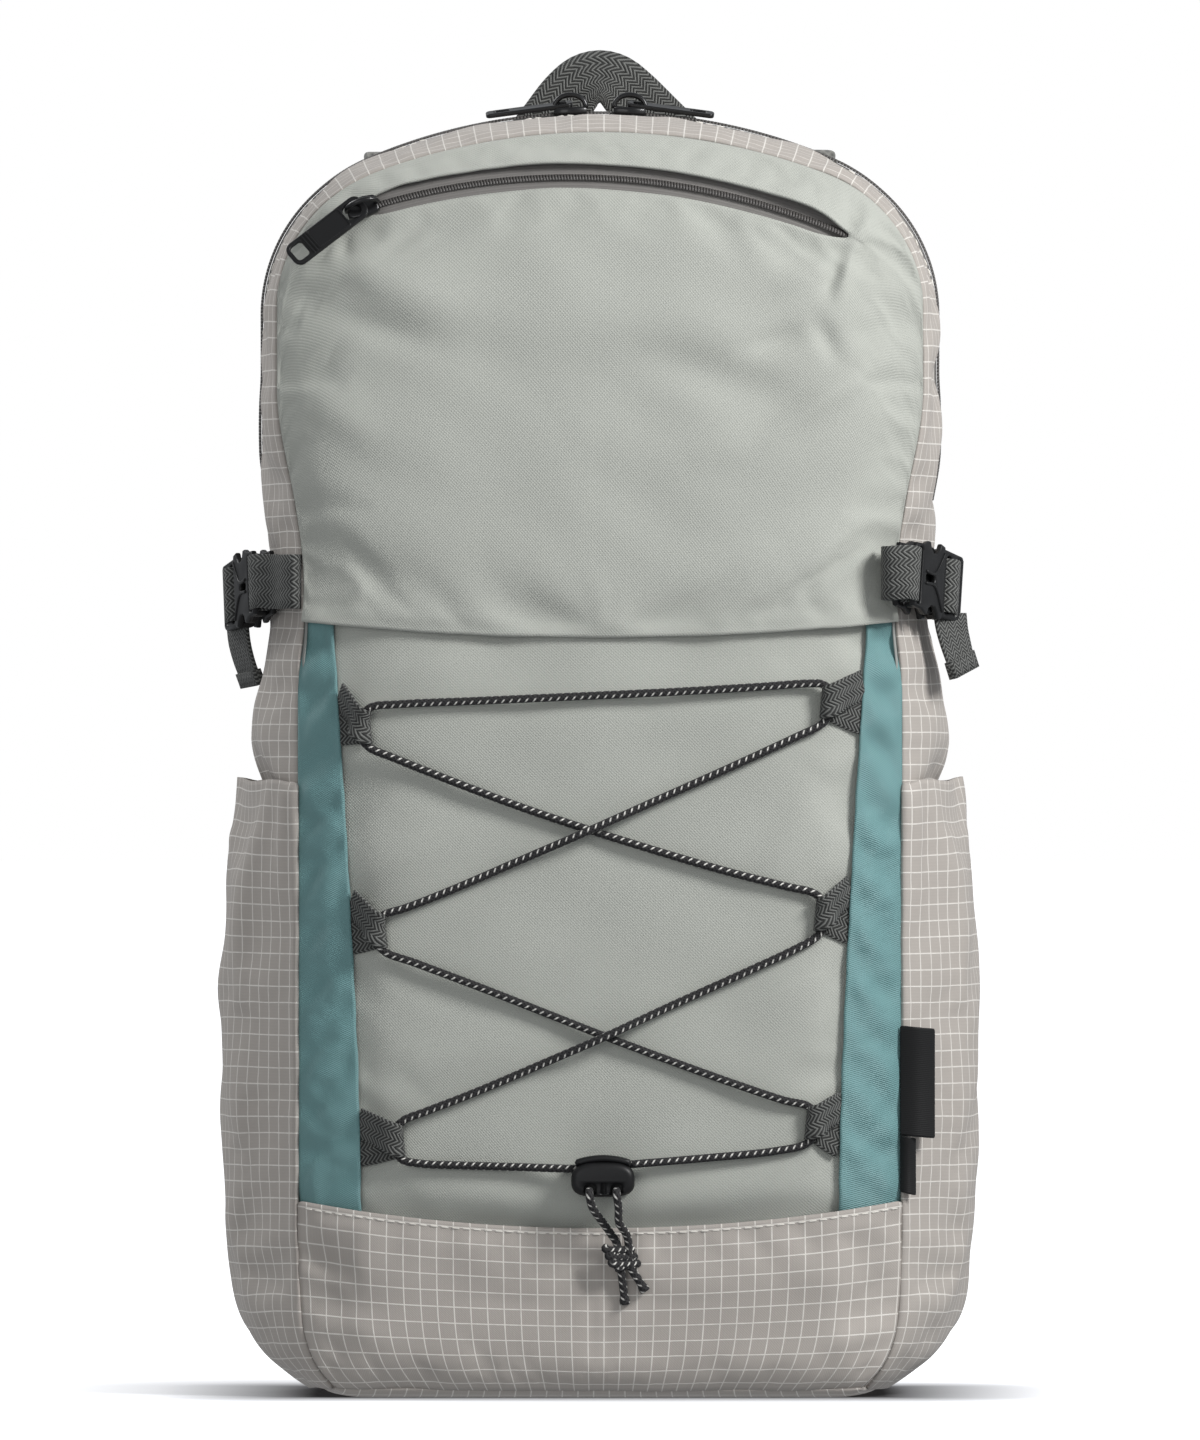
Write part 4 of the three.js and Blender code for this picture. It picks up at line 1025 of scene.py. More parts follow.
def add_upper_panel():
    columns, low_rows, high_rows = 104, 62, 11
    rows = low_rows + 1 + high_rows

    def arched(u):
        return (UPPER_HALF - 0.0004) * np.sin((u - 0.5) * math.pi)

    def patch(u, v):
        across = arched(u) + 0 * v
        row = v * rows
        low, high = zip_line(across) - zip_opening(across), zip_line(across) + zip_opening(across)
        below = lerp(hem_edge(across), low, np.minimum(1, row / low_rows))
        above = lerp(high, seam_height(across) - 0.0005, (row - low_rows - 1) / high_rows)
        z = np.where(row < low_rows + 0.5, below, above)
        x = across * np.where(z > SHOULDER, 1, seam_half(z) / UPPER_HALF)
        return np.stack([x, front_depth(x, z), z], -1)

    places = arched(np.linspace(0, 1, columns + 1))
    inside = (places > ZIP_LEFT) & (places < ZIP_RIGHT)
    gap = np.zeros((columns, rows), bool)
    gap[:, low_rows] = inside[:-1] & inside[1:]
    sheet = Sheet("upper_front_panel", patch, columns, rows, SAGE, gap=gap)
    sheet.drape(slack=0.018, pressure=0.35, cap=0.0032, frames=18)
    x, z = sheet.points[..., 0], sheet.points[..., 2]
    middle = smooth(0, 0.02, np.minimum(x - ZIP_LEFT, ZIP_RIGHT - x))
    flap = 0.0030 * middle * np.exp(-(np.maximum(0, z - zip_height(x)) / 0.009) ** 2) * (z > zip_line(x))
    lip = 0.0012 * middle * np.exp(-((zip_height(x) - z) / 0.008) ** 2) * (z <= zip_line(x))
    hem = 0.0016 * np.exp(-((z - hem_edge(x)) / 0.006) ** 2)
    edge = smooth(0, 0.010, seam_height(x) - z)
    side = smooth(0, 0.012, np.where(z > SHOULDER, UPPER_HALF, seam_half(z)) - np.abs(x))
    folds = 1.25 * creases(x, z, UPPER_FOLDS) + ripple(x, z, 11, 0.026, 0.0007)
    sheet.raise_by(flap + lip + hem + folds * edge * side)
    piece = sheet.finish(0.0011, LINING)
    give_to_lid(piece, "sage", "lid_panel", "upper_panel_hem")


def add_pocket_zip():
    def tape(u, v):
        turn = lerp(ZIP_FROM - 0.004, ZIP_TO + 0.002, u)
        reach = ZIP_RADIUS + lerp(-0.0060, 0.0060, v)
        x, z = ZIP_X + reach * np.sin(turn), ZIP_Z + reach * np.cos(turn)
        ends = np.maximum(0, np.abs(u - 0.5) - 0.42) / 0.08
        return np.stack([x, front_depth(x, z) + 0.0017 + 0.0022 * ends ** 2, z], -1)

    sheet = Sheet("pocket_zip_tape_pair", tape, 90, 8, TAPE)
    give(sheet.finish(0.0008, levels=1), "lid", "zip_tape", "pocket_zip_tape")
    turns = np.linspace(ZIP_FROM, ZIP_TO, 200)
    xs, zs = ZIP_X + ZIP_RADIUS * np.sin(turns), ZIP_Z + ZIP_RADIUS * np.cos(turns)
    line = np.stack([xs, front_depth(xs, zs) + 0.0013, zs], -1)
    out = np.tile([0.0, -0.55, 0.83], (len(line), 1))
    give(coil("pocket_zip_coil", line, out), "lid", "zip_tape")


def coil(name, line, outward, pitch=0.0011, half=0.0016, height=0.0009):
    """A closed zip's coil: rows of small ribs that meet on the zip's line."""
    run = run_along(line)
    points, faces = [], []
    section = ((-1.0, 0.0), (-0.85, 0.7), (-0.3, 1.0), (0.3, 1.0), (0.85, 0.7), (1.0, 0.0))
    for middle in np.arange(pitch, run[-1] - pitch, pitch):
        centre = at_run(middle, run, line)
        ahead = at_run(middle + pitch, run, line) - centre
        ahead /= np.linalg.norm(ahead)
        up = at_run(middle, run, outward)
        up -= ahead * (up @ ahead)
        up /= np.linalg.norm(up)
        side = np.cross(ahead, up)
        start = len(points)
        for shift in (-0.36, 0.36):
            for across, level in section:
                slant = 0.25 * across
                rib = side * across * half + up * level * height
                points.append(centre + rib + ahead * pitch * (shift + slant))
        for step in range(len(section) - 1):
            a = start + step
            faces.append((a, a + 1, a + len(section) + 1, a + len(section)))
        faces.append(tuple(range(start + len(section) - 1, start - 1, -1)))
        faces.append(tuple(range(start + len(section), start + 2 * len(section))))
    return add_mesh(name, points, faces, COIL)


def front_patch(left, right, bottom, top, behind=0.0, tuck=0.0):
    """A patch of the front between two upright edges and a lower and an upper edge."""

    def patch(u, v):
        guess = lerp(left(0.2), right(0.2), u)
        z = lerp(bottom(guess), top(guess), v)
        x = lerp(left(z), right(z), u)
        return np.stack([x, front_depth(x, z) + behind + tuck * smooth(0.245, HEM, z), z], -1)
    return patch


def add_lower_panels():
    under = front_patch(lambda z: -strip_edge(z) - 0.006, lambda z: strip_edge(z) + 0.006,
                        lambda x: base_edge(x) - 0.006, lambda x: HEM + 0.014 + 0 * x, 0.0012, 0.0030)
    sheet = Sheet("lower_front_sheet", under, 56, 64, SAGE)
    sheet.drape(slack=0.014, pressure=0.30, cap=0.0014)
    x, z = sheet.points[..., 0], sheet.points[..., 2]
    above = z - base_edge(x)
    calm = smooth(0, 0.012, strip_edge(z) - np.abs(x)) * smooth(0.001, 0.012, above)
    sunk = 0.0026 * (1 - smooth(-0.001, 0.009, above))
    sheet.raise_by((0.0017 + creases(x, z, LOWER_FOLDS) + ripple(x, z, 23, 0.02, 0.0005)) * calm - sunk)
    give(sheet.finish(0.0011, LINING), "root", "sage", "lower_front_panel")
    for side, sign in SIDES:
        def near(z):
            return sign * (strip_edge(z) - 0.0005)

        def far(z):
            return sign * (seam_half(z) + 0.0003)

        left, right = (near, far) if sign > 0 else (far, near)
        patch = front_patch(left, right, lambda x: base_edge(x) - 0.004, lambda x: HEM + 0.012 + 0 * x,
                            0.0, 0.0028)
        strip = Sheet(f"teal_strip_{side}_cloth", patch, 10, 70, TEAL)
        strip.drape(slack=0.022, pressure=0.25, cap=0.0016)
        x, z = strip.points[..., 0], strip.points[..., 2]
        inner = np.exp(-((np.abs(x) - strip_edge(z)) / 0.0022) ** 2)
        slant = np.sin((z * 1.0 + np.abs(x) * 0.9) * 2 * math.pi / 0.021 + ripple(x, z, 31, 0.03, 1.2))
        crossing = smooth(0, 0.004, np.abs(x) - strip_edge(z)) * smooth(0, 0.004, seam_half(z) - np.abs(x))
        lift = 0.0011 * (1 - smooth(0.004, 0.014, np.abs(x) - strip_edge(z)))
        foot = smooth(-0.001, 0.005, z - base_edge(x)) * smooth(-0.005, 0.001, hem_edge(x) - z)
        strip.raise_by((lift + 0.0005 * inner + 0.0011 * slant * crossing) * foot - 0.0010 * (1 - foot))
        give(strip.finish(0.0012), "root", "teal", f"teal_strip_{side}")


BASE_FOLDS = [
    ((-0.110, 0.053), (-0.097, 0.048), 0.0024, -0.0022), ((-0.110, 0.047), (-0.094, 0.040), 0.0030, 0.0018),
    ((-0.106, 0.060), (-0.098, 0.036), 0.004, -0.0012), ((0.108, 0.026), (0.086, 0.020), 0.004, 0.0016),
    ((0.104, 0.050), (0.094, 0.030), 0.005, -0.0014), ((-0.104, 0.030), (-0.080, 0.022), 0.005, 0.0014),
]
SEAM_STITCH = (0.0040, 0.0029)    # pitch and length of the long stitches


def add_base_front():
    def patch(u, v):
        z = lerp(FOOT, base_edge(lerp(-LOWER_HALF, LOWER_HALF, u)), v)
        x = lerp(-1, 1, u) * (seam_half(z) + 0.0003)
        return np.stack([x, curled_depth(x, z), z], -1)

    sheet = Sheet("front_base_cloth", patch, 80, 22, RIPSTOP)
    sheet.drape(slack=0.016, pressure=0.4, cap=0.0020)
    x, z = sheet.points[..., 0], sheet.points[..., 2]
    folds = creases(x, z, BASE_FOLDS)
    top = 0.0005 * np.exp(-((base_edge(x) - z) / 0.003) ** 2)
    valley = -0.0005 * np.exp(-((base_edge(x) - z - 0.0022) / 0.0008) ** 2)
    sheet.raise_by(folds + ripple(x, z, 5, 0.018, 0.0006) * smooth(0, 0.01, base_edge(x) - z) + top + valley)
    row = 1 - 0.0022 / (0.0665 - FOOT)
    path = [(u, row) for u in np.linspace(0.012, 0.988, 240)]
    seam = stitches("base_edge_stitches", sheet, path, *SEAM_STITCH)
    give(sheet.finish(0.0011, LINING), "root", "ripstop", "front_base_panel")
    give(seam, "root", "ripstop")


def add_base():
    def patch(u, v):
        across, deep = 2 * u - 1, 2 * v - 1
        lift = np.maximum(np.abs(across), np.abs(deep))
        rise = np.maximum(0, (lift - 0.88) / 0.12)
        z = FOOT * (1 - np.sqrt(np.maximum(0, 1 - rise ** 2)))
        y = lerp(seam_depth(RIM) + 0.0026, BACK_Y, v)
        half = np.abs(skin_point(run_at(FOOT) + 0 * u, y)[..., 0])
        x = across * half
        front = curled_depth(x * 0.98, FOOT)
        return np.stack([x, lerp(front, BACK_Y, v) + 0 * u, z], -1)

    sheet = Sheet("base_cloth", patch, 72, 50, RIPSTOP, flip=True)
    give(sheet.finish(0.0014, LINING), "root", "ripstop", "base_panel")


# ---------------------------------------------------------------- sides, gusset and main zip

FOLD_RUN = run_at(FOLD)
RIM_RUN = run_at(FOOT)
ZIP_HALF = 0.005
GUSSET_WAVE = 0.0008


def zip_edge(z, sign):
    """Where a side skin stops: beside the main zip, and on one seam below the zip's end."""
    return ZIP_Y + sign * (0.0002 + (ZIP_HALF - 0.0002) * smooth(FOLD - 0.012, FOLD + 0.002, z))


def side_bulge(z):
    return 0.0062 * np.exp(-((z - 0.244) / 0.018) ** 2) - 0.0022 * np.exp(-((z - 0.300) / 0.011) ** 2)


def skin_sheet(name, front, rear, across, along, seed):
    def patch(u, v):
        run = lerp(-RIM_RUN, RIM_RUN, u)
        z = seam_point(run)[1]
        y = lerp(front(z), rear(z), v)
        share = (y - seam_depth(z)) / (BACK_Y - seam_depth(z))
        arch = 1 - np.abs(2 * np.clip(share, 0, 1) - 1) ** 2.5
        return skin_point(run, y, side_bulge(z) * arch)

    sheet = Sheet(name, patch, across, along, RIPSTOP)
    sheet.drape(slack=0.024, pressure=0.30, cap=0.0022, frames=18)
    run = np.linspace(-RIM_RUN, RIM_RUN, across + 1)[:, None] + 0 * sheet.points[..., 0]
    y, z = sheet.points[..., 1], sheet.points[..., 2]
    calm = np.sin(math.pi * np.linspace(0, 1, along + 1)[None, :]) ** 0.6
    phase = ripple(run, y, seed, 0.05, 1.6)
    slant = np.sin((run * 0.8 + y * 0.6 * np.sign(run)) * 2 * math.pi / 0.034 + phase)
    upper = smooth(0.30, 0.36, z)
    wave = slant * lerp(0.0005, 0.0013, upper) * smooth(0.05, 0.1, np.abs(run)) * calm
    sheet.raise_by((wave + ripple(run, y, seed + 1, 0.014, GUSSET_WAVE)) * calm)
    return sheet


def add_skins():
    front = skin_sheet("front_side_skin", lambda z: seam_depth(z) + 0.0011, lambda z: zip_edge(z, -1),
                       270, 18, 41)
    rear = skin_sheet("rear_side_skin", lambda z: zip_edge(z, 1), lambda z: BACK_Y + 0 * z, 270, 16, 43)
    top = [(u, 0.93) for u in np.linspace(0.30, 0.70, 260)]
    seam = stitches("zip_edge_stitches", front, top, *SEAM_STITCH, 0.00045)

    def bound(u, v):
        run = lerp(-RIM_RUN, RIM_RUN, u)
        return skin_point(run, seam_depth(seam_point(run)[1]) + lerp(0.0003, 0.007, v), -0.0016)

    binding = Sheet("front_seam_binding", bound, 270, 3, LINING)
    give_to_lid(binding.finish(0.0005), "lining")
    give_to_lid(front.finish(0.0012, LINING), "ripstop", "lid_gusset", "side_panel_left", "side_panel_right")
    give(rear.finish(0.0012, LINING), "root", "ripstop", "rear_gusset")
    give_to_lid(seam, "ripstop")


def add_main_zip():
    reach = FOLD_RUN + 0.004
    for name, low, high, node in (("front", -ZIP_HALF - 0.0016, -0.0002, "main_zip_front_tape"),
                                  ("rear", 0.0002, ZIP_HALF + 0.0016, "main_zip_rear_tape")):
        def patch(u, v):
            run = lerp(-reach, reach, u)
            return skin_point(run, ZIP_Y + lerp(low, high, v), -0.0006)

        sheet = Sheet(f"main_zip_{name}_tape_cloth", patch, 220, 4, TAPE)
        piece = sheet.finish(0.0008, levels=1)
        if name == "front":
            give_to_lid(piece, "zip_tape", node)
        else:
            give(piece, "root", "zip_tape", node)
    for side, sign in SIDES:
        def allowance(u, v):
            run = lerp(FOLD_RUN - 0.006, RIM_RUN, u)
            inside = side_bulge(seam_point(run)[1]) - 0.0013
            return skin_point(sign * run, ZIP_Y + lerp(-0.004, 0.004, v), inside)

        seam = Sheet(f"side_seam_{side}", allowance, 90, 4, RIPSTOP, flip=sign < 0)
        give(seam.finish(0.0006), "root", "ripstop")
    runs = np.linspace(-FOLD_RUN, FOLD_RUN, 600)
    _, _, nx, nz = seam_point(runs)
    line = skin_point(runs, np.full_like(runs, ZIP_Y - 0.0006), -0.0004)
    teeth = coil("main_zip_coil", line, np.stack([nx, 0 * nx, nz], -1), 0.0013, 0.0015, 0.0010)
    give_to_lid(teeth, "zip_tape")


# ---------------------------------------------------------------- bottle pockets


POCKET_HEM = 0.0205
# How far a pocket stands off the side at each height, and the puckers at its front seam in y and z.
POCKET_HEIGHTS = (0.004, 0.016, 0.029, 0.045, 0.071, 0.090, 0.150, 0.190, 0.227)
POCKET_SWELLS = (0.0, 0.0070, 0.0080, 0.0094, 0.0114, 0.0122, 0.0126, 0.0106, 0.0084)
POCKET_FOLDS = [
    ((-0.066, 0.060), (-0.034, 0.052), 0.004, -0.0018), ((-0.066, 0.041), (-0.036, 0.046), 0.004, 0.0015),
    ((-0.066, 0.092), (-0.040, 0.076), 0.005, -0.0012), ((-0.064, 0.150), (-0.030, 0.128), 0.006, 0.0010),
]


def add_bottle_pockets():
    top, bottom = run_at(POCKET_RIM), run_at(FOOT + 0.001)
    for side, sign in SIDES:
        def patch(u, v):
            run = sign * lerp(top, bottom, u)
            x, z, _, _ = seam_point(run)
            foremost = FRONT_Y - 0.0004 + curl(z)
            y = lerp(foremost, BACK_Y - 0.002, v)
            arch = np.maximum(0, 1 - np.abs(2 * v - 1) ** 3)
            hug = 0.0020 * smooth(0, 0.04, v) - 0.0001
            swell = np.interp(z, POCKET_HEIGHTS, POCKET_SWELLS)
            to_seam = np.stack([x, foremost, z], -1) - skin_point(run, foremost)
            return skin_point(run, y, hug + swell * arch) + to_seam * ((1 - v) ** 6)[..., None]

        sheet = Sheet(f"bottle_pocket_{side}_cloth", patch, 62, 44, RIPSTOP, flip=sign > 0)
        sheet.held[0, :] = False
        sheet.held[0, [0, -1]] = True
        sheet.drape(slack=0.016, pressure=0.35, cap=0.0024, calm=0)
        y, z = sheet.points[..., 1], sheet.points[..., 2]
        sewn = POCKET_RIM - POCKET_HEM
        hem = 0.0004 * smooth(sewn - 0.001, sewn + 0.001, z)
        stitched = -0.0007 * np.exp(-((z - sewn) / 0.0012) ** 2)
        calm = np.sin(math.pi * np.linspace(0.03, 0.97, 45)[None, :]) ** 0.5
        folds = creases(y, z, POCKET_FOLDS) + ripple(y, z, 60 + sign, 0.02, 0.0009)
        sheet.raise_by((hem + stitched + folds) * calm)
        row = POCKET_HEM / (POCKET_RIM - FOOT)
        path = [(row, v) for v in np.linspace(0.02, 0.98, 90)]
        seam = stitches(f"pocket_hem_stitches_{side}", sheet, path)
        give(sheet.finish(0.0016, RIPSTOP), "root", "ripstop", f"bottle_pocket_{side}")
        give(seam, "root", "ripstop")


# ---------------------------------------------------------------- back, lining and harness


def back_patch(inset, bottom, y, belly):
    def patch(u, v):
        across = (UPPER_HALF - inset) * np.sin((u - 0.5) * math.pi) + 0 * v
        z = lerp(bottom, seam_height(across / (UPPER_HALF - inset) * UPPER_HALF) - inset, v)
        x = across * np.where(z > SHOULDER, 1, (seam_half(z) - inset) / (UPPER_HALF - inset))
        swell = belly * np.cos(math.pi * (u - 0.5)) * np.sin(math.pi * v) ** 0.5
        return np.stack([x, y + swell, z], -1)
    return patch


def add_back():
    back = Sheet("back_cloth", back_patch(0.003, FOOT, BACK_Y, 0.0016), 48, 80, RIPSTOP, flip=True)
    give(back.finish(0.0014, LINING), "root", "ripstop", "back_panel")
    lining = Sheet("pocket_lining_cloth", back_patch(0.016, FOLD + 0.010, -0.052, -0.006), 30, 24, LINING)
    x, z = lining.points[..., 0], lining.points[..., 2]
    lining.points[..., 1] = front_depth(x, z) + 0.0055
    give_to_lid(lining.finish(0.0006), "lining", "pocket_lining")

    def sleeve(u, v):
        x, z = lerp(-0.094, 0.094, u) + 0 * v, lerp(0.021, 0.283, v) + 0 * u
        sag = 0.0016 * np.sin(math.pi * u) * np.sin(math.pi * v) + ripple(x, z, 77, 0.05, 0.0006)
        return np.stack([x, 0.0472 + sag, z], -1)
    pouch = Sheet("laptop_sleeve_cloth", sleeve, 40, 50, LINING)
    give(pouch.finish(0.0012), "root", "lining", "laptop_sleeve")
    paint("frame_sheet", BOARD)


def paint(node, material):
    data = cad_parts[node].data
    data.materials.clear()
    data.materials.append(material)


def pad(name, node, voxel, pressure, cap, shrink):
    """A foam piece: the frame's solid, remeshed and swollen by cloth under pressure."""
    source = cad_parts[node]
    piece = bpy.data.objects.new(name, source.data.copy())
    piece.data.name = name
    scene.collection.objects.link(piece)
    piece.data.materials.clear()
    piece.data.materials.append(MESH)
    remesh = piece.modifiers.new("voxels", "REMESH")
    remesh.mode = "VOXEL"
    remesh.voxel_size = voxel
    settle(piece)
    start = vertex_values(piece.data) - vertex_values(piece.data, "normal") * shrink
    piece.data.vertices.foreach_set("co", start.ravel())
    modifier = piece.modifiers.new("cloth", "CLOTH")
    rules = modifier.settings
    rules.use_pressure = True
    rules.uniform_pressure_force = pressure
    rules.effector_weights.gravity = 0
    rules.tension_stiffness = 10
    rules.mass = 0.2
    swollen = start + capped(run_cloth(piece, modifier, 20) - start, cap)
    piece.data.vertices.foreach_set("co", swollen.ravel())
    piece.data.polygons.foreach_set("use_smooth", [True] * len(piece.data.polygons))
    return piece


def press(piece, height):
    """Subdivides a pad and moves its rear points in Y by a height that depends on x and z."""
    subdivide(piece)
    settle(piece)
    places = vertex_values(piece.data)
    facing = np.clip(vertex_values(piece.data, "normal")[:, 1], 0, 1) ** 2
    places[:, 1] += height(places[:, 0], places[:, 2]) * facing
    piece.data.vertices.foreach_set("co", places.ravel())
    piece.data.update()


def groove(distance, width, depth):
    return -depth * np.exp(-(distance / width) ** 2)


PAD_MIDDLE = 0.244
CHANNEL_PITCH = 0.090


def add_pads():
    back = pad("back_pad_mesh", "back_pad", 0.004, 4, 0.005, 0.003)

    def channels(x, z):
        spine = groove(np.abs(x), 0.009, 0.0050)
        chevron = (z - PAD_MIDDLE - np.abs(x) * 0.35 + CHANNEL_PITCH / 2) % CHANNEL_PITCH - CHANNEL_PITCH / 2
        return spine + groove(chevron, 0.0035, 0.0034) * smooth(0.004, 0.016, np.abs(x))

    def strap_edge(x, z):
        from_edge = np.abs(np.abs(x) - strap_middle(z)) - strap_half(z) + 0.006
        return groove(from_edge, 0.0022, 0.0022)

    press(back, channels)
    give(back, "root", "air_mesh", "back_pad")
    for side, _ in SIDES:
        strap = pad(f"shoulder_pad_{side}", f"shoulder_strap_{side}", 0.004, 4, 0.005, 0.002)
        press(strap, strap_edge)
        give(strap, "root", "air_mesh", f"shoulder_strap_{side}")


STRAP_HEIGHTS = (0.136, 0.190, 0.230, 0.270, 0.310, 0.350, 0.390, 0.424, 0.460)
STRAP_MIDDLES = (0.084, 0.084, 0.082, 0.0785, 0.074, 0.0695, 0.0655, 0.0625, 0.060)
STRAP_WIDTHS = (0.034, 0.050, 0.054, 0.057, 0.060, 0.062, 0.064, 0.065, 0.065)


def strap_middle(z):
    return np.interp(z, STRAP_HEIGHTS, STRAP_MIDDLES)


def strap_half(z):
    return np.interp(z, STRAP_HEIGHTS, STRAP_WIDTHS) / 2


# The webbing below a ladder lock: x, y, z and how far its width tips over.
LOWER_WEBBING = [
    (0.084, 0.1038, 0.131, 0), (0.0845, 0.1034, 0.112, 0), (0.088, 0.0996, 0.090, 0.25),
    (0.094, 0.092, 0.070, 0.4), (0.099, 0.0836, 0.054, 0.5), (0.101, 0.0772, 0.043, 0.5),
]
# The cloth from the back panel into the top end of a shoulder strap.
STRAP_YOKE = [
    (0.0575, 0.0708, 0.4330), (0.0576, 0.0730, 0.4410), (0.0578, 0.0775, 0.4475),
    (0.0582, 0.0835, 0.4545), (0.0586, 0.0880, 0.4590),
]


def add_harness():
    for side, sign in SIDES:
        slots = [rounded(0.0206, 0.0030, 0.0008, (0, height)) for height in (-0.0065, 0.0015)]
        ladder = outline_plate(f"ladder_lock_{side}_body", [rounded(0.027, 0.024, 0.004)] + slots,
                               0.004, 0.0009, PLASTIC, upright(sign * 0.084, 0.1054, 0.120))
        give(ladder, f"ladder_lock_{side}", "plastic", f"ladder_lock_{side}")
        tail = [((sign * x, y, z), (1, 0, sign * twist)) for x, y, z, twist in LOWER_WEBBING]
        webbing = ribbon(f"lower_webbing_{side}", tail, WEB, 0.0016, WEBBING)
        give(webbing, "root", "webbing", f"strap_webbing_{side}")
        yoke = [((sign * x, y, z), (1, 0, 0)) for x, y, z in STRAP_YOKE]
        give(ribbon(f"strap_yoke_{side}", yoke, 0.060, 0.0018, RIPSTOP), "root", "ripstop")

        def corner(u, v):
            x = sign * lerp(lerp(0.084, 0.108, u), lerp(0.098, 0.110, u), v)
            y = 0.0736 + 0.0006 * np.sin(math.pi * u) + 0 * v
            return np.stack([x, y, lerp(0.022, 0.052, v) + 0 * u], -1)

        anchor = Sheet(f"strap_anchor_{side}_cloth", corner, 16, 16, RIPSTOP, flip=sign > 0)
        give(anchor.finish(0.0022), "root", "ripstop", f"strap_anchor_{side}")


def upright(x, y, z):
    """Stands a plate drawn in X and Y upright, facing rearwards or forwards."""
    return Matrix.Translation((x, y, z)) @ Matrix.Rotation(math.pi / 2, 4, "X")


def add_handle():
    y = 0.066
    stations = [
        ((-0.0265, y + 0.001, 0.4620), (0.80, 0, -0.60)),
        ((-0.0190, y, 0.4720), (0.80, -0.05, -0.60)),
        ((-0.0118, y, 0.4830), (0.74, -0.12, -0.66), 0.0220),
        ((-0.0060, y, 0.4888), (0.42, -0.25, -0.90), 0.0208),
        ((0.0, y, 0.4905), (0, -0.3, -1), 0.0204),
        ((0.0058, y, 0.4888), (-0.42, -0.25, -0.90), 0.0208),
        ((0.0116, y, 0.4834), (-0.68, -0.12, -0.72), 0.0220),
        ((0.0215, y, 0.4722), (-0.72, -0.05, -0.69)),
        ((0.0320, y + 0.001, 0.4620), (-0.72, 0, -0.68)),
    ]
    handle = ribbon("handle_webbing", stations, 0.024, 0.0022, WEBBING)
    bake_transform(handle)
    named(handle, "webbing", "grab_handle")


# ---------------------------------------------------------------- sliders and pullers

PULLER_LIFT = 0.0042
PULLER_DROOP, PULLER_ROLL = math.radians(5), math.radians(14)
POCKET_SKEW, SLIDER_PITCH, PULLER_TURN = -0.0225, math.radians(66), math.radians(202)


def arch_line(length, height, steps=18):
    """A D-shaped bridge's centre line, standing on its ends along X."""
    turns = np.linspace(0, math.pi, steps)
    return np.stack([-length / 2 * np.cos(turns), 0 * turns, height * np.sin(turns) ** 0.8], -1)


def add_slider(name, node, place):
    raised = place @ Matrix.Translation((0, 0, 0.0015))
    shell = outline_plate(name, [slider_outline()], 0.0030, 0.0010, METAL, raised)
    bridge = tube(name + "_bridge", arch_line(0.0118, 0.0054) + np.array([0, 0, 0.0022]), 0.0010, METAL, 10)
    bridge.data.transform(place)
    return give(join(name, [shell, bridge]), node, "slider_metal", node)


def mirrored(half):
    """A closed outline from its upper half."""
    return half + [(x, -y) for x, y in reversed(half)]


def slider_outline():
    """A slider seen from above: wide shoulders where the tapes part, narrow where they meet."""
    half = [(0.0060, 0.0026), (0.0048, 0.0036), (0.0010, 0.0042), (-0.0040, 0.0040), (-0.0060, 0.0030)]
    return mirrored(half)


def add_puller(name, node, place, length, width, thick, slots, material, slot):
    middle = length / 2 - 0.001
    plates = [rounded(length, width, width * 0.32, (middle, 0), 6)] + slots
    body = outline_plate(name, plates, thick, min(0.0005, thick * 0.3), material, place)
    return give(body, node, slot, node)


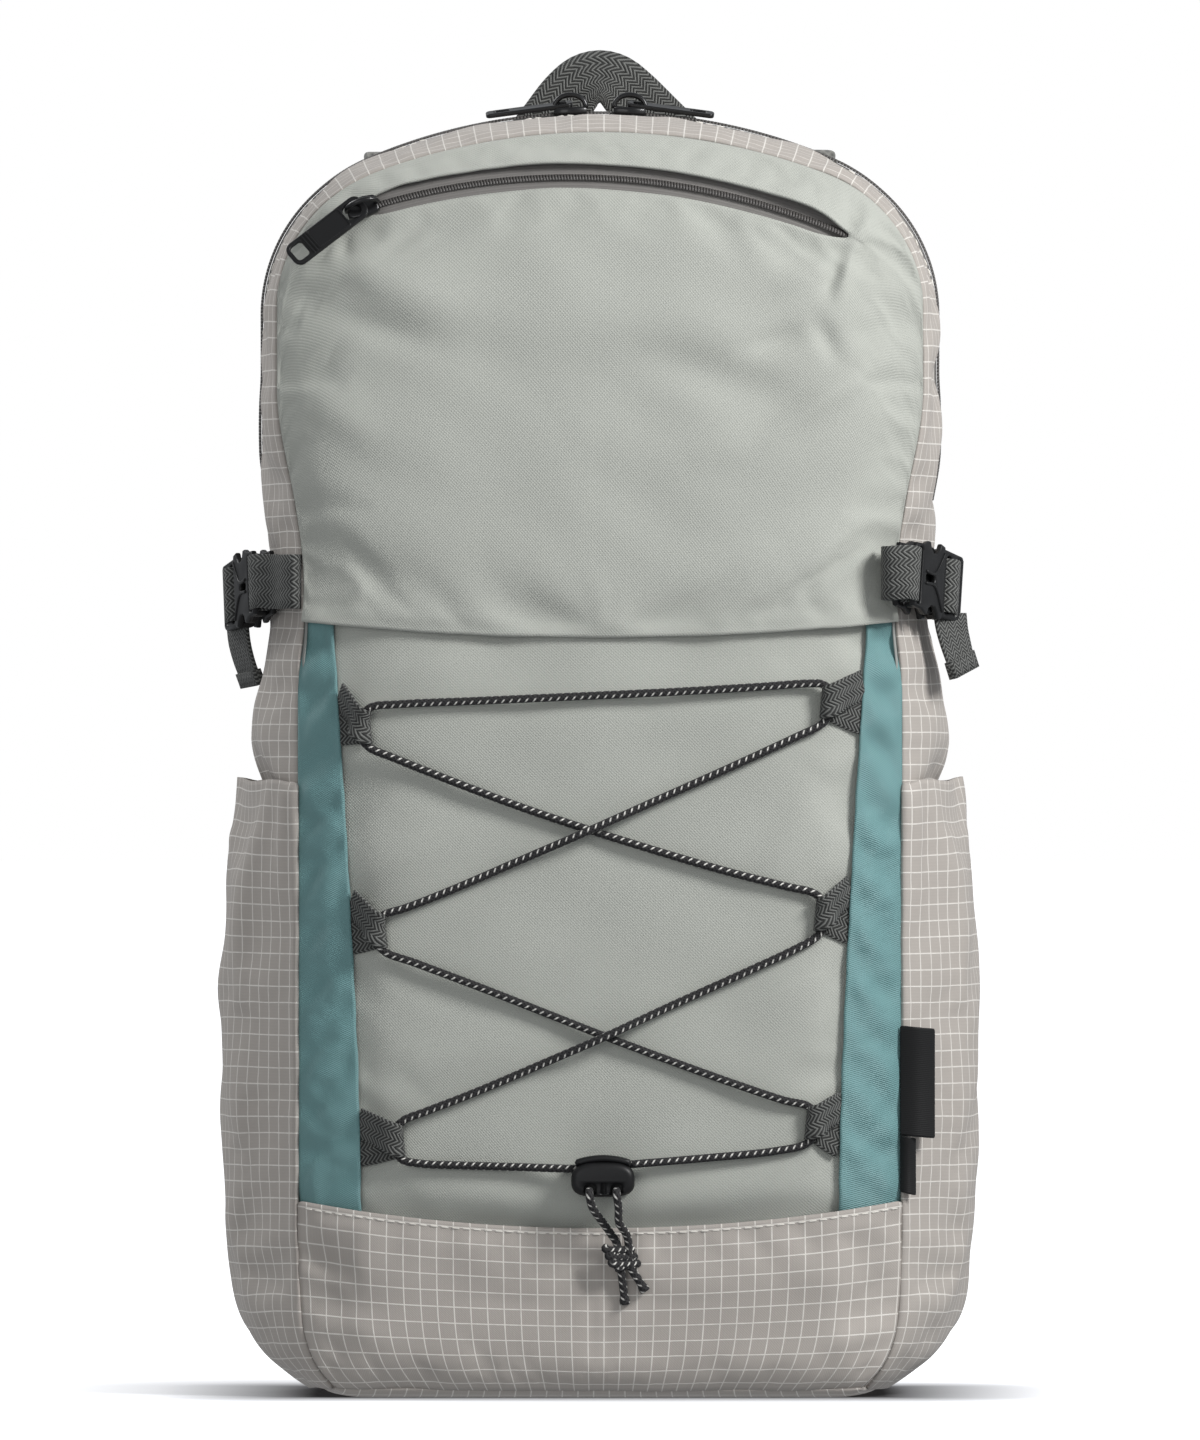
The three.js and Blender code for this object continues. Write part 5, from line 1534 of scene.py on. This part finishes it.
def add_sliders():
    for side, sign in SIDES:
        turn = sign * math.radians(2.6)
        radius = TOP_RADIUS + 0.0075
        place = (Matrix.Translation((radius * math.sin(turn), ZIP_Y, TOP_CENTRE + radius * math.cos(turn)))
                 @ Matrix.Rotation(turn, 4, "Y") @ Matrix.Rotation(math.pi if sign < 0 else 0, 4, "Z"))
        add_slider(f"main_zip_slider_{side}", f"main_slider_{side}", place)
        lifted = place @ Matrix.Translation((0, 0, PULLER_LIFT)) @ Matrix.Rotation(PULLER_DROOP, 4, "Y")
        lifted = lifted @ Matrix.Rotation(sign * PULLER_ROLL, 4, "X")
        slots = [rounded(0.0046, 0.0036, 0.0008, (0.0035, 0)), rounded(0.0060, 0.0028, 0.0012, (0.0255, 0))]
        add_puller(f"main_zip_puller_{side}", f"main_puller_{side}", lifted, 0.0325, 0.0062, 0.0017, slots,
                   METAL, "slider_metal")
    arm = (Matrix.Translation((ZIP_X, -0.0604, ZIP_Z)) @ Matrix.Rotation(POCKET_SKEW, 4, "Z")
           @ Matrix.Rotation(ZIP_FROM + math.radians(1.1), 4, "Y")
           @ Matrix.Translation((0, -0.0024, ZIP_RADIUS)) @ Matrix.Rotation(SLIDER_PITCH, 4, "X"))
    add_slider("pocket_zip_slider", "pocket_slider", arm)
    lifted = arm @ Matrix.Translation((0, 0, PULLER_LIFT)) @ Matrix.Rotation(PULLER_TURN, 4, "Z")
    slots = [rounded(0.0068, 0.0068, 0.0030, (0.0044, 0), 6), rounded(0.0052, 0.0066, 0.0014, (0.0288, 0), 6)]
    puller = add_puller("pocket_zip_puller", "pocket_puller", lifted, 0.034, 0.0100, 0.0018, slots,
                        PLASTIC, "plastic")
    ribs = [outline_plate(f"puller_rib_{index}", [rounded(0.0008, 0.0092, 0.0003, (place, 0))],
                          0.0026, 0.0003, PLASTIC, lifted) for index, place in enumerate((0.0236, 0.0250))]
    rail = outline_plate("puller_frame", [rounded(0.0150, 0.0092, 0.0012, (0.0152, 0)),
                         rounded(0.0138, 0.0080, 0.0008, (0.0152, 0))], 0.0024, 0.0002, PLASTIC, lifted)
    join("pocket_zip_puller", [puller] + ribs + [rail])


# ---------------------------------------------------------------- lacing loops

# Each loop: where the cord runs through it, and how far above and below the tape is sewn in.
LOOPS = {
    "upper_left": (-0.0872, 0.2466, 0.0115, 0.0006), "upper_right": (0.0842, 0.2560, 0.0062, 0.0062),
    "middle_left": (-0.0816, 0.1716, 0.0102, 0.0026), "middle_right": (0.0820, 0.1778, 0.0090, 0.0050),
    "lower_left": (-0.0750, 0.0946, 0.0064, 0.0036), "lower_right": (0.0786, 0.1012, 0.0060, 0.0070),
}
LOOP_TAPE = 0.0118
LACE_LIFT = 0.0042        # the lace's usual height over the front panel


def add_lacing_loops():
    for name, (x, z, rise, drop) in LOOPS.items():
        sign = 1 if x > 0 else -1
        lift = LACE_LIFT
        sewn = sign * (strip_edge(z) + 0.0001)
        side = 0.0024 * sign
        lean = (0.10 * sign, 0, 1)
        stations = [
            (on_front(sewn, z + rise, 0.0004), lean),
            (on_front(lerp(sewn, x, 0.45), z + rise * 0.62, lift), (0.24 * sign, 0, 1)),
            (on_front(x + side * 0.6, z + rise * 0.16, lift + 0.0027), lean),
            (on_front(x - side * 0.55, z, lift + 0.0020), lean),
            (on_front(x - side * 1.05, z, lift), lean),
            (on_front(x - side * 0.5, z - 0.0003, lift - 0.0022), lean),
            (on_front(x + side, z - drop * 0.3, lift - 0.0027), (-0.10 * sign, 0, 1)),
            (on_front(lerp(sewn, x, 0.4), z - drop * 0.7, 0.0006), (-0.1 * sign, 0, 1)),
            (on_front(sewn, z - drop, 0.0001), (-0.1 * sign, 0, 1)),
        ]
        loop = ribbon(f"lacing_tape_{name}", stations, LOOP_TAPE, 0.0011, WEBBING, 0.0008)
        give(loop, "root", "webbing", f"lacing_loop_{name}")


# ---------------------------------------------------------------- cord lock


LOCK_THICK = 0.0118


def bore(piece, cutters):
    """Cuts each cutter's shape out of a piece."""
    for cutter in cutters:
        modifier = piece.modifiers.new("bore", "BOOLEAN")
        modifier.operation = "DIFFERENCE"
        modifier.solver = "EXACT"
        modifier.object = cutter
    settle(piece)
    for cutter in cutters:
        bpy.data.objects.remove(cutter)


def add_cord_lock():
    depth = float(front_depth(*LOCK)) - 0.0069
    facing = Matrix.Translation((LOCK[0], depth, LOCK[1])) @ Matrix.Rotation(math.pi / 2, 4, "X")
    front = facing @ Matrix.Translation((0, 0, LOCK_THICK / 2))
    holes = [rounded(0.0044, 0.0046, 0.0021, (sx * 0.0049, -0.0032), 6) for sx in (-1, 1)]
    holes.append(rounded(0.0019, 0.0044, 0.0008, (0, -0.0028), 4))
    body = outline_plate("cord_lock_shell", [lock_outline()], LOCK_THICK, 0.0026, PLASTIC, facing)
    bore(body, [outline_plate("lock_bore", [hole], 0.0080, 0.0001, PLASTIC, front) for hole in holes])
    give(body, "root", "plastic", "cord_lock_body")
    top = outline_plate("cord_lock_top", [cap_outline()], 0.0086, 0.0014, PLASTIC, facing)
    give(top, "cord_lock_button", "plastic", "cord_lock_button")
    turns = np.linspace(0, 10 * math.pi, 160)
    wire = np.stack([0.002 * np.cos(turns), 0.002 * np.sin(turns), 0.0026 * turns / turns[-1]], -1)
    spring = tube("cord_lock_coil", wire + np.array([LOCK[0], depth, LOCK[1]]), 0.00028, STEEL, 8)
    give(spring, "root", "spring_steel", "cord_lock_spring")


def lock_outline():
    """The lock's front: a pill that is flatter on top."""
    outline = []
    for step in range(40):
        turn = 2 * math.pi * step / 40
        x, z = math.cos(turn), math.sin(turn)
        outline.append((0.0117 * math.copysign(abs(x) ** 0.62, x),
                        0.0064 * math.copysign(abs(z) ** 0.72, z) + 0.0004 * (1 - x * x)))
    return outline


def cap_outline():
    """The pressed bar on the lock's top edge, bowed like the edge itself."""
    xs = np.linspace(-0.0098, 0.0098, 15)
    bow = 0.0016 * (1 - (xs / 0.0098) ** 2)
    upper = [(x, 0.0078 + b) for x, b in zip(xs, bow)]
    lower = [(x, 0.0052 + b) for x, b in zip(xs[::-1], bow)]
    return [(-0.0104, 0.0066)] + upper + [(0.0104, 0.0066)] + lower


# ---------------------------------------------------------------- buckles and compression straps

# Each buckle: the end of its socket, its heading seen from above, and its tilt in degrees.
BUCKLES = {
    "right": ((0.1118, -0.0750, 0.3035), (0.45, 0.893), -8),
    "left": ((-0.1238, -0.0480, 0.3005), (-0.30, 0.954), 8),
}


def buckle_place(side, sign):
    at, heading, tilt = BUCKLES[side]
    along = Vector((heading[0], heading[1], 0)).normalized()
    up = Vector((0, 0, sign))
    face = along.cross(up)
    basis = Matrix((along, up, face)).transposed().to_4x4()
    return Matrix.Translation(at) @ basis @ Matrix.Rotation(math.radians(tilt), 4, "Z")


def add_buckles():
    socket = mirrored([(0, 0.0090), (0.0012, 0.0118), (0.0078, 0.0122), (0.0108, 0.0136),
                       (0.0122, 0.0136), (0.0134, 0.0112), (0.0156, 0.0098), (0.0186, 0.0100),
                       (0.0206, 0.0120), (0.0216, 0.0140), (0.0246, 0.0134), (0.0250, 0.0118)])
    windows = [rounded(0.0034, 0.0212, 0.0012, (0.0046, 0)), rounded(0.0078, 0.0028, 0.0013, (0.0136, 0))]
    plug = mirrored([(0.0256, 0.0118), (0.0270, 0.0130), (0.0420, 0.0122), (0.0432, 0.0108)])
    for side, sign in SIDES:
        place = buckle_place(side, sign)
        parts = []
        for number, level in enumerate((0.0034, -0.0034)):
            shift = place @ Matrix.Translation((0, 0, level))
            parts.append(outline_plate(f"socket_{side}_{number}", [socket] + windows, 0.0024, 0.0008,
                                       PLASTIC, shift))
        parts.append(outline_plate(f"socket_core_{side}", [rounded(0.0046, 0.0230, 0.0015, (0.0092, 0))],
                                   0.0060, 0.0004, PLASTIC, place))
        ridge = [(0.0096, 0.0022), (0.0170, 0.0024), (0.0244, 0.0108)]
        for number, flip in enumerate((1, -1)):
            line = curve_through([(x, flip * y, 0.0046) for x, y in ridge], 0.0006)
            made = tube(f"socket_ridge_{side}_{number}", line, 0.0006, PLASTIC, 8)
            made.data.transform(place)
            parts.append(made)
        give(join(f"buckle_socket_{side}_shell", parts), "root", "plastic", f"buckle_socket_{side}")
        bars = [rounded(0.0032, 0.0208, 0.0012, (along, 0)) for along in (0.0306, 0.0384)]
        parts = [outline_plate(f"plug_{side}", [plug] + bars, 0.0070, 0.0012, PLASTIC, place)]
        for number, flip in enumerate((1, -1)):
            prong = [(0.0262, 0.0086), (0.0262, 0.0112), (0.0212, 0.0116), (0.0196, 0.0126), (0.0168, 0.0122),
                     (0.0142, 0.0100), (0.0150, 0.0086), (0.0190, 0.0096)]
            parts.append(outline_plate(f"prong_{side}_{number}", [[(x, flip * y) for x, y in prong][::flip]],
                                       0.0042, 0.0008, PLASTIC, place))
        parts.append(outline_plate(f"tongue_{side}", [rounded(0.0120, 0.0050, 0.0012, (0.0208, 0))],
                                   0.0036, 0.0006, PLASTIC, place))
        give(join(f"buckle_plug_{side}_body", parts), f"buckle_plug_{side}", "plastic", f"buckle_plug_{side}")


STRAP_LEVEL = 0.297       # the height at which the compression straps run round the sides


def flat(points, z):
    return [((x, y, z), (0, 0, 1)) for x, y in points]


# Webbing round the socket's bar and the plug's: places along the buckle and above its middle.
SOCKET_WRAP = [(-0.0032, 0.0038), (0.0000, 0.0050), (0.0028, 0.0046), (0.0044, 0.0020), (0.0044, -0.0020),
               (0.0020, -0.0046), (-0.0030, -0.0040)]
PLUG_WRAP = [(0.0302, -0.0022), (0.0306, 0.0022), (0.0324, 0.0044), (0.0348, 0.0048), (0.0370, 0.0042),
             (0.0386, 0.0016), (0.0392, -0.0022), (0.0420, -0.0046)]


def threaded(place, sign, turns):
    upward = tuple(place.to_3x3() @ Vector((0, sign, 0)))
    return [(tuple(place @ Vector((along, 0, level))), upward) for along, level in turns]


def add_compression_straps():
    roots = {
        "right": [(0.1042, -0.0722), (0.1046, -0.0770), (0.1068, -0.0797)],
        "left": [(-0.1104, -0.0630), (-0.1126, -0.0672), (-0.1162, -0.0640), (-0.1204, -0.0566)],
    }
    returns = {
        "right": [(0.1084, -0.0742), (0.1066, -0.0722)],
        "left": [(-0.1196, -0.0512), (-0.1158, -0.0580)],
    }
    straps = {
        "right": [(0.1320, -0.0240), (0.1302, -0.006), (0.1268, 0.012), (0.1230, 0.034), (0.1180, 0.054),
                  (0.1126, 0.068)],
        "left": [(-0.1352, 0.006), (-0.1306, 0.021), (-0.1250, 0.038), (-0.1192, 0.054), (-0.1126, 0.068)],
    }
    tails = {
        "right": [((0.1292, -0.0440, 0.2890), (0.66, 0.75, 0)), ((0.1300, -0.0446, 0.2830), (0.64, 0.77, 0)),
                  ((0.1318, -0.0448, 0.2760), (0.60, 0.80, 0)), ((0.1336, -0.0446, 0.2700), (0.54, 0.84, 0)),
                  ((0.1346, -0.0442, 0.2668), (0.50, 0.87, 0))],
        "left": [((-0.1344, -0.0134, 0.2850), (-0.42, 0.91, 0)), ((-0.1336, -0.0136, 0.2780), (-0.42, 0.91, 0)),
                 ((-0.1318, -0.0136, 0.2710), (-0.41, 0.91, 0)), ((-0.1296, -0.0134, 0.2650), (-0.40, 0.92, 0)),
                 ((-0.1286, -0.0132, 0.2622), (-0.40, 0.92, 0))],
    }
    for side, sign in SIDES:
        place = buckle_place(side, sign)
        level = place.translation.z
        wrap = threaded(place, sign, SOCKET_WRAP)
        stations = flat(roots[side], level) + wrap + flat(returns[side], level)
        tab = ribbon(f"front_tab_{side}_webbing", stations, WEB, 0.0015, WEBBING, 0.0012)
        give(tab, "root", "webbing", f"front_tab_{side}")
        bar = threaded(place, sign, PLUG_WRAP)
        stations = bar + flat(straps[side], STRAP_LEVEL)
        strap = ribbon(f"compression_webbing_{side}", stations, WEB, 0.0015, WEBBING, 0.0012)
        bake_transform(strap)
        named(strap, "webbing", f"compression_strap_{side}")
        tail = ribbon(f"strap_tail_{side}_webbing", tails[side], 0.018, 0.0014, WEBBING)
        doubled = ribbon(f"strap_tail_{side}_end", doubled_end(tails[side]), 0.0178, 0.0036, WEBBING)
        give(join(f"strap_tail_{side}_webbing", [tail, doubled]), f"buckle_plug_{side}", "webbing",
             f"strap_tail_{side}")


def doubled_end(stations):
    """The last stretch of a strap, where its end is folded over and sewn down."""
    (before, across), (last, _) = stations[-2:]
    start = lerp(np.array(before), np.array(last), -0.9)
    return [(tuple(start), across), (before, across), (last, across)]


# ---------------------------------------------------------------- labels, floor


# Each side label: how far out it reaches, its lower and upper edge, and how far its end bends back.
TAGS = (("upper", 0.1234, 0.0966, 0.1370, 0.0030), ("lower", 0.1164, 0.0757, 0.0966, 0.0012))


def add_labels():
    tags = []
    for name, x_out, low, high, bend in TAGS:
        def patch(u, v):
            x = lerp(0.1105, x_out, u) + 0 * v
            z = lerp(low, high, v) - 0.0012 * u
            y = FRONT_Y - 0.0022 - 0.0016 * np.sin(math.pi * u) + bend * u * u + 0.0008 * np.sin(3 * v)
            return np.stack([x, y + 0 * v, z], -1)

        tags.append(Sheet(f"seam_tag_{name}", patch, 14, 24, LABEL).finish(0.0006))
    give(join("seam_tags", tags), "root", "label", "side_labels")


def floor_paint():
    """A pale sweep that glows plain white farther off; near the object its glow fades and its colour darkens to
    near black, a painted shadow round the footprint.
    """
    shader = Shader("pale_floor", 0.9)
    x, y, _ = shader.object_axes()
    past = [shader.math("SUBTRACT", shader.math("ABSOLUTE", axis), half)
            for axis, half in ((x, 0.105), (y, 0.060))]
    beside, before = (shader.math("MAXIMUM", distance, 0.0) for distance in past)
    squared = shader.math("MULTIPLY_ADD", beside, beside, shader.math("MULTIPLY", before, before))
    away = shader.math("SQRT", squared)
    # Glow strength rises from nothing at the footprint to full 0.15 m away: painted shade round the object,
    # plain white beyond.
    glow_with_painted_shade = shader.node("MapRange", Value=away, From_Min=0.0, From_Max=0.15)
    shader.links.new(glow_with_painted_shade.outputs[0], shader.surface.inputs["Emission Strength"])
    shader.surface.inputs["Emission Color"].default_value = (1, 1, 1, 1)
    # Colour goes from near black at the footprint to pale 0.06 m away: a painted contact shadow.
    near = shader.node("MapRange", Value=away, From_Min=0.0, From_Max=0.06)
    return shader.finish(shader.blend(near.outputs[0], (0.04, 0.038, 0.04, 1), (0.66, 0.67, 0.70, 1)))


def add_floor():
    size = 30
    corners = [(-size, -size, 0), (size, -size, 0), (size, size, 0), (-size, size, 0)]
    floor = add_mesh("floor", corners, [(0, 1, 2, 3)], floor_paint())
    floor.visible_diffuse = False
    floor.visible_glossy = False


# ---------------------------------------------------------------- assembly


add_studio()
add_cords()
add_upper_panel()
add_pocket_zip()
add_lower_panels()
add_base_front()
add_base()
add_skins()
add_main_zip()
add_bottle_pockets()
add_back()
add_pads()
add_harness()
add_handle()
add_sliders()
add_lacing_loops()
add_cord_lock()
add_buckles()
add_compression_straps()
add_labels()
add_floor()
